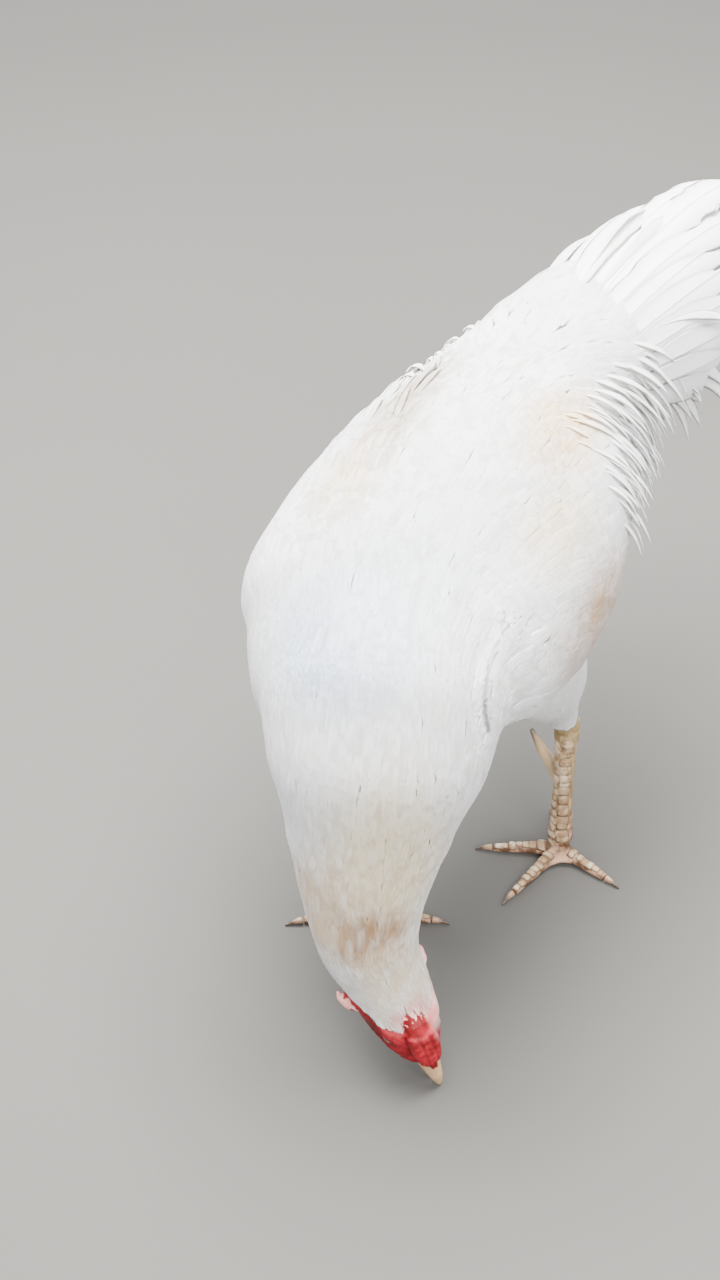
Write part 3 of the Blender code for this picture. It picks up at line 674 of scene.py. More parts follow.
head = swollen(HEAD_NODES)
cut = bmesh.ops.bisect_plane(
    head, geom=head.verts[:] + head.edges[:] + head.faces[:], plane_co=(0, 0, STUB_TOP), plane_no=UP,
    clear_outer=True)
bmesh.ops.holes_fill(head, edges=[item for item in cut["geom_cut"] if isinstance(item, bmesh.types.BMEdge)])
head = remeshed(head, HEAD_VOXEL)
smooth(head, 10)
nape = [vertex for vertex in head.verts if 0.100 < head_place(vertex.co)[0] < 0.160]
smooth(head, NAPE_SMOOTHING * 2, verts=nape)
head.normal_update()
for vertex in head.verts:
    behind, aside, above = head_place(vertex.co)
    plumed = feathered(behind, aside, above)
    depth = FACE_DEPTH + (CROWN_DEPTH - FACE_DEPTH) * plumed
    depth += (STUB_DEPTH - CROWN_DEPTH) * smooth_step(0.112, 0.140, behind)
    region = region_of(region_names[region_tree.find(vertex.co)[1]])
    relief = knobs(behind, aside) if region == "comb" else face_relief(vertex.co, behind, aside, above)
    if region == "ear_lobe":
        relief -= LOBE_DEPTH
    vertex.co += vertex.normal * (relief * (1 - plumed) - depth)
waist = [vertex for vertex in head.verts if vertex.co.z > STUB_START]
middle = sum((vertex.co for vertex in waist), Vector()) / len(waist)
for vertex in waist:
    inward = (middle - vertex.co) * STUB_TAPER * smooth_step(STUB_START, STUB_TOP - 0.008, vertex.co.z)
    vertex.co += Vector((inward.x, inward.y, 0))
smooth(head, 2)
print("skin of the head:", len(head.verts), "vertices")

# %% [markdown]
# ## The legs' skin
# The shanks are thick and the toes spread, with a little web of skin between the middle and the outer toe. A
# stump inside the thigh ties each leg to the trunk's skin, so that the union below is one closed skin.

# %% Join each shank with its toes
LEG_VOXEL = 0.0011
LEG_DEPTH = 0.00055
# Radii at both ends of a web's rod and of the stump in the thigh
WEB_RADII = (0.0030, 0.0028)
STUMP_RADII = (0.0088, 0.0105)
FOOT = {"left": FEET + Vector((0.047, 0.074, 0.012)), "right": FEET + Vector((-0.057, -0.062, 0.012))}
HOCK = {"left": FEET + Vector((0.038, 0.092, 0.128)), "right": FEET + Vector((-0.060, -0.044, 0.128))}
THIGH = {"left": FEET + Vector((0.024, 0.026, 0.256)), "right": FEET + Vector((-0.086, -0.004, 0.256))}
TOE_TIP = {
    "left": {"middle": (0.034, 0.0), "outer": (0.106, 0.062), "inner": (-0.013, 0.044),
             "hind": (0.020, 0.115)},
    "right": {"middle": (-0.012, -0.132), "outer": (-0.102, -0.103), "inner": (0.008, -0.038),
              "hind": (-0.092, -0.028)},
}


def rod(start, end, first, last, segments=16):
    """A closed tapered cylinder from one point to another."""
    solid = bmesh.new()
    axis = end - start
    bmesh.ops.create_cone(solid, cap_ends=True, segments=segments, radius1=first, radius2=last,
                          depth=axis.length)
    bmesh.ops.rotate(solid, verts=solid.verts[:], matrix=axis.to_track_quat("Z", "Y").to_matrix())
    bmesh.ops.translate(solid, verts=solid.verts[:], vec=(start + end) / 2)
    return solid


def toe_point(hand, toe, share, height):
    """A point along a toe, from under the foot to the tip of its claw."""
    foot = FOOT[hand]
    end = FEET + Vector((*TOE_TIP[hand][toe], 0))
    point = Vector((foot.x, foot.y, 0)).lerp(end, share)
    return Vector((point.x, point.y, height))


legs = []
for hand in PAIRS:
    leg = swollen(LEG_NODES[hand])
    stump_end = HOCK[hand].lerp(THIGH[hand], 0.42)
    add_to(leg, rod(FOOT[hand].lerp(HOCK[hand], 0.88), stump_end, *STUMP_RADII))
    for start, end in ((0.16, 0.30), (0.22, 0.38)):
        for near, far in (("middle", "outer"), ("outer", "middle")):
            web = toe_point(hand, near, start, 0.0055), toe_point(hand, far, end, 0.0050)
            add_to(leg, rod(*web, *WEB_RADII, segments=8))
    leg = remeshed(leg, LEG_VOXEL)
    smooth(leg, 5)
    push(leg, -SWELL - LEG_DEPTH)
    legs.append(leg)
print("skin of the legs:", [len(leg.verts) for leg in legs], "vertices")


# %% Unite trunk, head and legs
def united(first, second):
    """One closed bmesh round two, both freed."""
    other = place_in_scene("other", mesh_from("other", second))

    def change(helper):
        modifier = helper.modifiers.new("union", "BOOLEAN")
        modifier.operation = "UNION"
        modifier.solver = "MANIFOLD"
        modifier.object = other
    result = evaluated(first, change)
    bpy.data.objects.remove(other)
    return result


whole = united(body, head)
for leg in legs:
    whole = united(whole, leg)
bmesh.ops.triangulate(whole, faces=whole.faces[:])
nape = [vertex for vertex in whole.verts if 0.165 < vertex.co.z < 0.245 and vertex.co.y < NECK_BACK]
smooth(whole, NAPE_SMOOTHING, nape)
open_edges = sum(1 for edge in whole.edges if len(edge.link_faces) != 2)
skin_mesh = mesh_from("skin", whole)
skin = add_piece("skin", skin_mesh, FLESH_NODES)
print("one skin of", len(skin_mesh.polygons), "faces with", open_edges, "open edges")

# %% [markdown]
# ## The lie of the coat
# Feathers point away from the bill: up the neck to the shoulders, back along the trunk, down over the saddle
# and the thighs, and out along the tail. Each region of the skin is given its own direction and feather size,
# and both are then blurred over the skin, so that no border shows between two regions.

# %% Give each region its feathers
# For each region: direction of the lie (None: along the neck), then feather length, half width, how far
# feathers stand off the skin, spacing of the roots, how pointed tips are and how much of the height they keep
COATS = {
    "breast": ((0.0, 1.0, -0.25), 0.044, 0.0110, 0.0026, 0.0072, 0.2, 0.35),
    "back": ((0.0, 1.0, 0.0), 0.050, 0.0080, 0.0032, 0.0068, 0.6, 0.45),
    "rump": ((0.0, 1.0, -0.30), 0.056, 0.0070, 0.0032, 0.0060, 0.7, 0.50),
    "neck_lower": (None, 0.070, 0.0072, 0.0034, 0.0056, 0.9, 0.50),
    "neck_upper": (None, 0.052, 0.0050, 0.0034, 0.0042, 1.0, 0.50),
    "head": (None, 0.020, 0.0026, 0.0013, 0.0021, 0.6, 0.35),
    "wing": ((0.0, 1.0, -0.16), 0.046, 0.0125, 0.0026, 0.0080, 0.0, 0.40),
    "saddle": ((0.55, 0.55, -0.62), 0.080, 0.0050, 0.0042, 0.0052, 1.0, 0.70),
    "tail_coverts": ((0.22, 1.0, 0.02), 0.078, 0.0092, 0.0034, 0.0072, 0.6, 0.50),
    "under_tail": ((0.0, 1.0, 1.00), 0.044, 0.0100, 0.0050, 0.0080, 0.1, 0.70),
    "thigh": ((0.0, 0.25, -1.0), 0.032, 0.0075, 0.0030, 0.0062, 0.2, 0.40),
}
BLUR_TIMES = 14
LAST_BLUR_TIMES = 4
CALM_TIMES = 60
HEM_HEIGHT = 0.128
LEGS_START = -0.20
# No feather grows on the tail root's end, which is skin that looks back along the tail more than this
TAIL_END_FACING = 0.80
# Low in front the breast's feathers turn up by so much, to lie in line with the neck's
BREAST_TURN = 1.6
# Distances behind the bill's tip: where the face ends, and where feathers grow from small to large
FACE_END = 0.125
COAT_GROWS = (0.082, 0.138)
PALE_CHEEK = 0.45


def mesh_arrays(mesh):
    """Vertex places, vertex normals and edges of a mesh as arrays."""
    points = np.empty(len(mesh.vertices) * 3)
    mesh.vertices.foreach_get("co", points)
    normals = np.empty(len(mesh.vertices) * 3)
    mesh.vertices.foreach_get("normal", normals)
    edges = np.empty(len(mesh.edges) * 2, dtype=int)
    mesh.edges.foreach_get("vertices", edges)
    return points.reshape(-1, 3), normals.reshape(-1, 3), edges.reshape(-1, 2)


def blurred(values, edges, times):
    """Vertex values averaged with their neighbours' again and again."""
    count = np.bincount(edges.ravel(), minlength=len(values))[:, None] + 1
    for _ in range(times):
        total = values.copy()
        for column in range(values.shape[1]):
            total[:, column] += np.bincount(edges[:, 0], values[edges[:, 1], column], len(values))
            total[:, column] += np.bincount(edges[:, 1], values[edges[:, 0], column], len(values))
        values = total / count
    return values


def unit(vectors):
    """An array of vectors at length one."""
    return vectors / np.maximum(np.linalg.norm(vectors, axis=-1, keepdims=True), 1e-9)


NECK_FLOW = [on_head(0.02, 0, 0), on_head(0.07, 0, 0), on_head(0.110, 0, 0), *reversed(NECK_LINE)]


def neck_direction(point):
    """The way from the bill to the shoulders at a point of the head or neck."""
    best = None
    for start, end in zip(NECK_FLOW, NECK_FLOW[1:]):
        step = end - start
        share = min(max((point - start).dot(step) / step.length_squared, 0), 1)
        apart = (point - start - step * share).length
        if best is None or apart < best[0]:
            best = (apart, step.normalized())
    return best[1]


skin_points, skin_normals, skin_edges = mesh_arrays(skin_mesh)
vertex_name = [region_names[region_tree.find(point)[1]] for point in skin_points]
lie = np.empty((len(skin_points), 3))
coat_table = np.empty((len(skin_points), 6))
wears_feathers = np.zeros(len(skin_points))
bare_colour = np.zeros((len(skin_points), 4))
for index, name in enumerate(vertex_name):
    region = region_of(name)
    side = -1 if name.endswith("_right") else 1
    on_the_head = region in ("head", "comb", "dewlap", "ear_lobe")
    point = Vector(skin_points[index])
    direction, *sizes = COATS["head" if on_the_head else region if region in COATS else "thigh"]
    if direction is None:
        direction = neck_direction(point)
    else:
        direction = Vector((direction[0] * side, direction[1], direction[2]))
    if region == "breast":
        direction.z += BREAST_TURN * smooth_step(-0.12, -0.20, point.y) * smooth_step(0.345, 0.300, point.z)
    lie[index] = direction
    coat_table[index] = sizes
    wears_feathers[index] = region in COATS
    if on_the_head or region == "neck_upper":
        behind, aside, above = head_place(point)
        plumed = feathered(behind, aside, above) if behind < FACE_END else 1
        wears_feathers[index] = 0 if region in ("comb", "dewlap", "ear_lobe") else plumed
        grown = smooth_step(*COAT_GROWS, behind)
        small, large = (np.array(COATS[name][1:]) for name in ("head", "neck_upper"))
        coat_table[index] = small * (1 - grown) + large * grown
        bare = 1 - smooth_step(0.80, 1.0, wears_feathers[index])
        pale = PALE_CHEEK * smooth_step(0.006, 0.014, aside) * smooth_step(0.040, 0.054, behind)
        # The mask's fourth channel is painted shade round the eye, under the brow
        painted_eye_shade = bump(math.hypot(behind - 0.064, above - 0.003), 0, 0.015)
        painted_eye_shade *= smooth_step(0.008, 0.013, abs(aside))
        bare_colour[index] = (bare * (1 - pale), region == "ear_lobe", 0, painted_eye_shade)
    facing_back = Vector(skin_normals[index]).dot(TAIL_ALONG)
    if region in ("tail_coverts", "under_tail") and facing_back > TAIL_END_FACING:
        wears_feathers[index] = 0
    if region not in COATS and not on_the_head or point.z < HEM_HEIGHT + 0.010 and point.y > LEGS_START:
        bare_colour[index] = (0, 0, 1, 0)
        wears_feathers[index] = 0
calm_normals = unit(blurred(skin_normals, skin_edges, CALM_TIMES))
lie = blurred(lie, skin_edges, BLUR_TIMES)
lie = unit(lie - skin_normals * (lie * skin_normals).sum(1)[:, None])
lie = unit(blurred(lie, skin_edges, LAST_BLUR_TIMES))
coat_table = blurred(coat_table, skin_edges, BLUR_TIMES)
skin_corners = np.empty(len(skin_mesh.loops), dtype=int)
skin_mesh.loops.foreach_get("vertex_index", skin_corners)
skin_corners = skin_corners.reshape(-1, 3)
skin_tree = BVHTree.FromPolygons([Vector(point) for point in skin_points], skin_corners.tolist())
print("lie of the coat set at", len(skin_points), "places")

# %% [markdown]
# ## Room for baked colour
# The finished model's colours can be baked onto a flat map. All feathers of one tuft can share a spot of
# that map, so the skin is unfolded once and each feather takes a small patch where its root sits.

# %% Unfold the skin
bpy.context.view_layer.objects.active = skin
skin.select_set(True)
bpy.ops.object.mode_set(mode="EDIT")
bpy.ops.mesh.select_all(action="SELECT")
bpy.ops.uv.smart_project(angle_limit=math.radians(66), island_margin=0.002)
bpy.ops.object.mode_set(mode="OBJECT")
skin_mesh.uv_layers[0].name = "OFBake"
skin_uv = np.empty(len(skin_mesh.loops) * 2)
skin_mesh.uv_layers["OFBake"].data.foreach_get("uv", skin_uv)
skin_uv = skin_uv.reshape(-1, 3, 2)
print("unfolded", len(skin_corners), "faces up to", skin_uv.max((0, 1)).round(3))


# %% Find places on the skin
def skin_at(points):
    """For each point: the nearest place on the skin, its triangle and the weights of that one's corners."""
    found = [skin_tree.find_nearest(Vector(point)) for point in points]
    places = np.array([item[0] for item in found])
    faces = np.array([item[2] for item in found])
    first, second, third = (skin_points[skin_corners[faces, corner]] for corner in range(3))
    one, two, offset = second - first, third - first, places - first
    one_one, one_two, two_two = (one * one).sum(1), (one * two).sum(1), (two * two).sum(1)
    to_one, to_two = (offset * one).sum(1), (offset * two).sum(1)
    size = np.maximum(one_one * two_two - one_two ** 2, 1e-30)
    in_one = np.clip((two_two * to_one - one_two * to_two) / size, 0, 1)
    in_two = np.clip((one_one * to_two - one_two * to_one) / size, 0, 1)
    weights = np.stack([1 - in_one - in_two, in_one, in_two], 1)
    return places, faces, np.clip(weights, 0, 1)


def blended(values, faces, weights):
    """A vertex value at places on the skin."""
    return (values[skin_corners[faces]] * weights[..., None]).sum(1)


# %% [markdown]
# ## One vane
# A feather seen from outside is a vane: a thin shield with a crown along its middle. Its solid starts as a
# six-sided tube cut across several times. Two of the six corners become the vane's edges, and the others its
# upper and lower face, so that it is closed and has thickness but only a few dozen faces.


# %% Make the pattern of a vane
def vane_pattern(sides, cuts):
    """A tube's vertices as share along, place across and which face, with its faces and their corners."""
    tube = bmesh.new()
    bmesh.ops.create_cone(tube, cap_ends=True, cap_tris=False, segments=sides, radius1=1, radius2=1, depth=1)
    bmesh.ops.rotate(tube, verts=tube.verts[:], cent=(0, 0, 0), matrix=Matrix.Rotation(math.pi / 2, 3, "Z"))
    long_edges = [edge for edge in tube.edges if abs(edge.verts[0].co.z - edge.verts[1].co.z) > 0.5]
    bmesh.ops.subdivide_edges(tube, edges=long_edges, cuts=cuts, use_grid_fill=True)
    bmesh.ops.recalc_face_normals(tube, faces=tube.faces[:])
    tube.verts.ensure_lookup_table()
    row = np.array([round((vertex.co.z + 0.5) * (cuts + 1)) for vertex in tube.verts])
    across = np.array([vertex.co.x for vertex in tube.verts])
    face = np.array([vertex.co.y for vertex in tube.verts])
    polygons = [[vertex.index for vertex in polygon.verts] for polygon in tube.faces]
    tube.free()
    return row, across / np.abs(across).max(), face / np.abs(face).max(), polygons


SMALL_CUTS = 6
BIG_CUTS = 18
small_vane = vane_pattern(6, SMALL_CUTS)
big_vane = vane_pattern(10, BIG_CUTS)
print("a small vane has", len(small_vane[0]), "vertices; across", sorted(set(small_vane[1].round(2))))


def root_patches(points):
    """The spot of the unfolded skin under each of some points."""
    _, faces, weights = skin_at(points)
    return (skin_uv[faces] * weights[..., None]).sum(1)


def joined_mesh(name, polygons, places):
    """A mesh of the same small shape many times: places holds every copy's vertices."""
    count, size = places.shape[:2]
    corners = np.concatenate(polygons)
    mesh = bpy.data.meshes.new(name)
    mesh.vertices.add(count * size)
    mesh.vertices.foreach_set("co", places.ravel())
    mesh.loops.add(count * len(corners))
    mesh.loops.foreach_set("vertex_index", (corners[None] + np.arange(count)[:, None] * size).ravel())
    mesh.polygons.add(count * len(polygons))
    starts = np.cumsum([0] + [len(polygon) for polygon in polygons[:-1]])
    starts = starts[None] + np.arange(count)[:, None] * len(corners)
    mesh.polygons.foreach_set("loop_start", starts.ravel())
    mesh.update(calc_edges=True)
    mesh.shade_smooth()
    return mesh


PATCH_HALF = 0.0015
# The map Vane is in centimetres
VANE_SCALE = 100


def add_patches(mesh, polygons, roots, within):
    """The map OFBake: each copy is a patch where its root sits; within is a vertex's place in the patch."""
    corners = np.concatenate(polygons)
    places = root_patches(roots)[:, None] + within[corners][None] * PATCH_HALF
    mesh.uv_layers.new(name="OFBake").data.foreach_set("uv", places.ravel())


def add_values(mesh, count, share, rng):
    """Attributes for the finishes: a tint for each copy, and the share along it for each vertex."""
    tint = mesh.attributes.new("tint", "FLOAT", "POINT")
    tint.data.foreach_set("value", np.repeat(rng.random(count), len(share)))
    along = mesh.attributes.new("along", "FLOAT", "POINT")
    along.data.foreach_set("value", np.tile(share, count))


OWN_NORMAL = 0.48


def soft_normals(mesh, body_normals):
    """Shade a mesh mostly with the body's normals, because soft feathers catch the light as one surface."""
    _, own, _ = mesh_arrays(mesh)
    facing = np.sign((own * body_normals).sum(1))[:, None]
    mixed = unit(body_normals * facing * (1 - OWN_NORMAL) + own * OWN_NORMAL)
    mesh.normals_split_custom_set_from_vertices(mixed)


def vane_mesh(name, pattern, middle, left, right, normal, thickness, rng):
    """A mesh of many vanes. The arrays hold, for each feather and row, its middle, both edges and normal."""
    row, across, face, polygons = pattern
    count, rows = middle.shape[:2]
    half = (right - left)[:, row] / 2
    droop = (left + right)[:, row] / 2 - middle[:, row]
    x = across[None, :, None]
    share = row / (rows - 1)
    fine = thickness[:, None] * (1 - across[None] ** 2) * (1.15 - share[None] ** 2)
    places = middle[:, row] + half * x + droop * x ** 2
    places = places + normal[:, row] * (fine * face[None])[..., None]
    mesh = joined_mesh(name, polygons, places)
    add_patches(mesh, polygons, middle[:, 0], np.stack([across, share * 2 - 1], 1))
    add_values(mesh, count, share, rng)
    width = np.linalg.norm(right - left, axis=2)[:, row] / 2
    steps = np.linalg.norm(np.diff(middle, axis=1), axis=2)
    travelled = np.concatenate([np.zeros((count, 1)), np.cumsum(steps, axis=1)], axis=1)[:, row]
    vane = np.stack([width * across[None], travelled], 2) * VANE_SCALE
    mesh.uv_layers.new(name="Vane").data.foreach_set("uv", vane[:, np.concatenate(polygons)].ravel())
    soft_normals(mesh, normal[:, row].reshape(-1, 3))
    return mesh


# %% [markdown]
# ## The small feathers
# Thousands of feathers cover the skin. Roots are scattered over it about a spacing apart, as close as the
# region wants them. From its root each feather's middle line is marched over the skin along the lie, a few
# steps long, and at each step both of its edges are laid on the skin too, so that it hugs the body. The
# line starts under the skin and rises towards the tip, so tips cover the roots of the feathers behind them.

# %% Scatter the roots
SEED = 7
# The least share of plumage at which roots are set, and how close two may stand as a share of the spacing
LEAST_PLUMED = 0.35
CANDIDATES_PER_ROOT = 6
CLOSEST = 0.86
random_numbers = np.random.default_rng(SEED)
spacing = coat_table[:, 3]
sides_one = skin_points[skin_corners[:, 1]] - skin_points[skin_corners[:, 0]]
sides_two = skin_points[skin_corners[:, 2]] - skin_points[skin_corners[:, 0]]
areas = np.linalg.norm(np.cross(sides_one, sides_two), axis=1) / 2
plumed_share = wears_feathers[skin_corners].mean(1)
wanted = areas / spacing[skin_corners].mean(1) ** 2 * (plumed_share > LEAST_PLUMED)
candidate_count = int(wanted.sum() * CANDIDATES_PER_ROOT)
chosen = random_numbers.choice(len(areas), candidate_count, p=wanted / wanted.sum())
weights = random_numbers.dirichlet((1, 1, 1), candidate_count)
candidates = (skin_points[skin_corners[chosen]] * weights[..., None]).sum(1)
candidate_spacing = blended(coat_table, chosen, weights)[:, 3]
candidate_tree = KDTree(candidate_count)
for index, point in enumerate(candidates):
    candidate_tree.insert(point, index)
candidate_tree.balance()
free = np.ones(candidate_count, dtype=bool)
roots = []
for index in range(candidate_count):
    if free[index]:
        roots.append(index)
        for _, other, _ in candidate_tree.find_range(candidates[index], candidate_spacing[index] * CLOSEST):
            free[other] = False
root_face = chosen[roots]
root_weight = weights[roots]
root_place = candidates[roots]
print(len(roots), "roots out of", candidate_count, "candidates")

# %% Lay the feathers over the skin
ROWS = SMALL_CUTS + 2
STEPS = 1 - (1 - np.linspace(0, 1, ROWS)) ** 1.3
ROUND_PROFILE = np.interp(STEPS, (0, 0.12, 0.35, 0.7, 0.88, 0.96, 1), (0.3, 0.6, 1, 1, 0.74, 0.42, 0.12))
POINTED_PROFILE = np.interp(STEPS, (0, 0.12, 0.35, 0.65, 0.85, 1), (0.35, 0.7, 1, 0.78, 0.42, 0.06))
ROOT_DEPTH = 0.0009
EDGE_DROP = 0.18
STRAY_SHARE = 0.30
STRAY_RISE = 0.0055
TURN = math.radians(4)
# Each feather's own share of its region's length, half width and height
LENGTH_SPREAD = (0.80, 1.15)
WIDTH_SPREAD = (0.85, 1.12)
HEIGHT_SPREAD = (0.90, 1.06)


def turned(vectors, axes, angles):
    """Vectors turned about unit axes at right angles to them."""
    return vectors * np.cos(angles)[:, None] + np.cross(axes, vectors) * np.sin(angles)[:, None]


def room_ahead(places, headings):
    """How long a feather may be before it hangs over the hock or crosses the edge of the wing."""
    room = np.full(len(places), 1.0)
    for index, (place, heading) in enumerate(zip(places, headings)):
        if place[2] < HEM_HEIGHT + 0.06 and place[1] > LEGS_START:
            room[index] = max(place[2] - HEM_HEIGHT, 0.010)
        for start, end in zip(CREASE_LINE[2:], CREASE_LINE[3:]):
            nearest, share = intersect_point_line(Vector(place), start, end)
            offset = nearest - Vector(place)
            ahead = offset.dot(heading)
            if 0 <= share <= 1 and 0 < ahead < 0.06 and offset.length_squared - ahead ** 2 < 0.00016:
                room[index] = min(room[index], max(ahead + 0.002, 0.006))
    return room


def laid_feathers(picked):
    """Middle, edges and normals, row by row, of the feathers with the picked roots."""
    count = len(picked)
    place, face, weight = root_place[picked], root_face[picked], root_weight[picked]
    length, half_width, depth, _, pointed, tip_height = blended(coat_table, face, weight).T
    length = length * random_numbers.uniform(*LENGTH_SPREAD, count)
    half_width = half_width * random_numbers.uniform(*WIDTH_SPREAD, count)
    depth = depth * random_numbers.uniform(*HEIGHT_SPREAD, count)
    yaw = random_numbers.normal(0, TURN, count)
    x, y, z = place.T
    on_back = (x < -0.045) & (z > 0.33) & (y > -0.09)
    loose = random_numbers.random(count) < STRAY_SHARE * on_back
    stray = STRAY_RISE * random_numbers.random(count) * loose
    half_width = half_width * np.where(loose, 0.5, 1.0)
    length = np.minimum(length, room_ahead(place, blended(lie, face, weight)))
    middle, left, right, normals = (np.empty((count, ROWS, 3)) for _ in range(4))
    for row in range(ROWS):
        normal = unit(blended(calm_normals, face, weight))
        heading = blended(lie, face, weight)
        heading = unit(heading - normal * (heading * normal).sum(1)[:, None])
        heading = turned(heading, normal, yaw * (1 - 0.4 * STEPS[row]))
        rise = np.interp(STEPS[row], (0, 0.22, 0.75), (0, 0.90, 1.0))
        fall = smooth_step(0.72, 1.0, STEPS[row])
        height = (depth + ROOT_DEPTH) * (rise - (1 - tip_height) * fall) - ROOT_DEPTH
        height = height + stray * STEPS[row] ** 2
        profile = ROUND_PROFILE[row] * (1 - pointed) + POINTED_PROFILE[row] * pointed
        reach = (half_width * profile)[:, None] * np.cross(heading, normal)
        middle[:, row] = place + normal * height[:, None]
        normals[:, row] = normal
        for edge, offset in ((left, -reach), (right, reach)):
            near, near_face, near_weight = skin_at(place + offset)
            near_normal = unit(blended(skin_normals, near_face, near_weight))
            drop = EDGE_DROP * half_width * profile
            edge[:, row] = near + near_normal * (height - drop)[:, None]
        if row < ROWS - 1:
            stride = length * (STEPS[row + 1] - STEPS[row])
            place, face, weight = skin_at(place + heading * stride[:, None])
    return middle, left, right, normals


THICKNESS = 0.00014
root_name = [vertex_name[skin_corners[face, 0]] for face in root_face]
pieces = {}
for index, name in enumerate(root_name):
    label = name if region_of(name) in ("wing", "saddle", "thigh") else region_of(name)
    label = {"comb": "head", "dewlap": "head", "ear_lobe": "head"}.get(label, label)
    if label.startswith(("shank", "toe")):
        label = "thigh_left" if skin_points[skin_corners[root_face[index], 0]][0] > 0.02 else "thigh_right"
    pieces.setdefault(label, []).append(index)
# A piece of so many vanes stays under 200,000 triangles
VANES_PER_PIECE = 2150
plumage = []
for label, indices in sorted(pieces.items()):
    for part in range(0, len(indices), VANES_PER_PIECE):
        picked = np.array(indices[part:part + VANES_PER_PIECE])
        suffix = "" if len(indices) <= VANES_PER_PIECE else f"_{part // VANES_PER_PIECE + 1}"
        name = f"plumage_{label}{suffix}"
        thickness = np.full(len(picked), THICKNESS)
        mesh = vane_mesh(name, small_vane, *laid_feathers(picked), thickness, random_numbers)
        plumage.append(add_piece(name, mesh))
print({piece.name: len(piece.data.polygons) // len(small_vane[3]) for piece in plumage})

# %% [markdown]
# ## Tail, sickles and lancets
# The broad tail feathers stand side by side round an arch, the upper ones over the lower ones. They could be
# drawn one by one, but all of them lie on one curved tent, so each is a strip of that tent with a rounded
# tip. Sickles and lancets hang free: each follows a curve that starts along the tail and droops at its end.

# %% Describe the tail's tent
TAIL_ACROSS = TAIL_ALONG.cross(UP).normalized()
TAIL_UPWARD = TAIL_ACROSS.cross(TAIL_ALONG).normalized()
RIDGE_LENGTH = 0.250
TENT_RADIUS = 0.044
TENT_SPREAD = 0.034
TENT_DROOP = 0.026
SIDE_SHORTENING = 0.54
# In degrees down from the ridge: the first feather, the down's edge and how far both reach round
FIRST_ANGLE = 4
DOWN_ANGLE = 2
FAN_ANGLE = 98
BIG_ROWS = BIG_CUTS + 2
BIG_STEPS = 1 - (1 - np.linspace(0, 1, BIG_ROWS)) ** 1.6


def tent_radius(share):
    """The tent's radius at a share of its length."""
    return TENT_RADIUS + TENT_SPREAD * math.sin(share * math.pi * 0.62)


def tent_point(side, length, share, angle, lift):
    """A point on the tent: share of a feather's length along it, angle in radians down from the ridge."""
    radius = tent_radius(share) + lift
    point = TAIL_ROOT + TAIL_ALONG * length * share
    point += TAIL_ACROSS * side * radius * math.sin(angle)
    return point + TAIL_UPWARD * (radius * math.cos(angle) - TENT_DROOP * share ** 2)


# %% Lay the broad tail feathers
TAIL_COUNT = 8
TAIL_HALF_WIDTH = 0.0185
TAIL_PROFILE = np.interp(BIG_STEPS, (0, 0.15, 0.45, 0.80, 0.90, 0.94, 0.965, 0.985, 0.995, 1),
                         (0.4, 0.5, 0.8, 1, 0.99, 0.93, 0.80, 0.58, 0.36, 0.08))


def ragged(profile, rng, depth):
    """A width profile with a few splits between the barbs."""
    result = profile * rng.uniform(1 - depth, 1 + depth * 0.4, len(profile))
    for row in rng.choice(np.arange(4, len(profile) - 1), 2, replace=False):
        result[row] *= 0.86
    return result


def broad_feathers(side, rng):
    """Middle, edges and normals of the broad feathers on one side of the tail."""
    middle, left, right, normals = (np.empty((TAIL_COUNT, BIG_ROWS, 3)) for _ in range(4))
    for feather in range(TAIL_COUNT):
        spread = (feather + 0.15) / (TAIL_COUNT - 0.6)
        length = RIDGE_LENGTH * (1 - SIDE_SHORTENING * spread ** 0.8) * rng.uniform(0.95, 1.0)
        every_other = feather % 2 if side < 0 else 0
        length *= 1 - 0.16 * every_other
        rise = 0.007 * every_other
        angle = math.radians(FIRST_ANGLE + FAN_ANGLE * spread)
        lift_at_root = -0.0022 - 0.0007 * feather
        twist = rng.normal(0, 0.05)
        profiles = ragged(TAIL_PROFILE, rng, 0.05), ragged(TAIL_PROFILE, rng, 0.05)
        for row, share in enumerate(BIG_STEPS):
            at = angle + twist * share
            lift = lift_at_root + rise * share ** 2
            middle[feather, row] = tent_point(side, length, share, at, lift + 0.0012)
            turns = [TAIL_HALF_WIDTH * profile[row] / tent_radius(share) for profile in profiles]
            low = tent_point(side, length, share, at - turns[0], lift + 0.0004)
            high = tent_point(side, length, share, at + turns[1], lift - 0.0012)
            left[feather, row], right[feather, row] = (low, high) if side > 0 else (high, low)
            normals[feather, row] = TAIL_ACROSS * side * math.sin(at) + TAIL_UPWARD * math.cos(at)
    return middle, left, right, normals


def slimmed(feathers, half_width, lift):
    """Shafts for feathers: the same middle lines, narrow and a little over the vane."""
    middle, left, right, normals = feathers
    raised = middle + normals * lift
    taper = (half_width * (1 - 0.8 * np.linspace(0, 1, middle.shape[1])))[None, :, None]
    across = unit(right - left) * taper
    return raised, raised - across, raised + across, normals


SIDES = ((1, "left"), (-1, "right"))
firm_pieces = []


def add_feathers(name, pattern, feathers, thickness, replaced=()):
    """Add a piece of firm vanes."""
    count = len(feathers[0])
    mesh = vane_mesh(name, pattern, *feathers, np.full(count, thickness), random_numbers)
    firm_pieces.append(add_piece(name, mesh, replaced))
    print(name, count, "feathers")


for side, hand in SIDES:
    broad = broad_feathers(side, random_numbers)
    add_feathers(f"tail_feathers_{hand}", big_vane, broad, thickness=0.0005, replaced=[f"tail_{hand}"])
    shafts = slimmed(broad, half_width=0.0011, lift=0.0004)
    add_feathers(f"tail_shafts_{hand}", big_vane, shafts, thickness=0.0006)


# %% Put down under the broad feathers
DOWN_REACH = 0.80
DOWN_LIFT = -0.0092
DOWN_THICKNESS = 0.0012


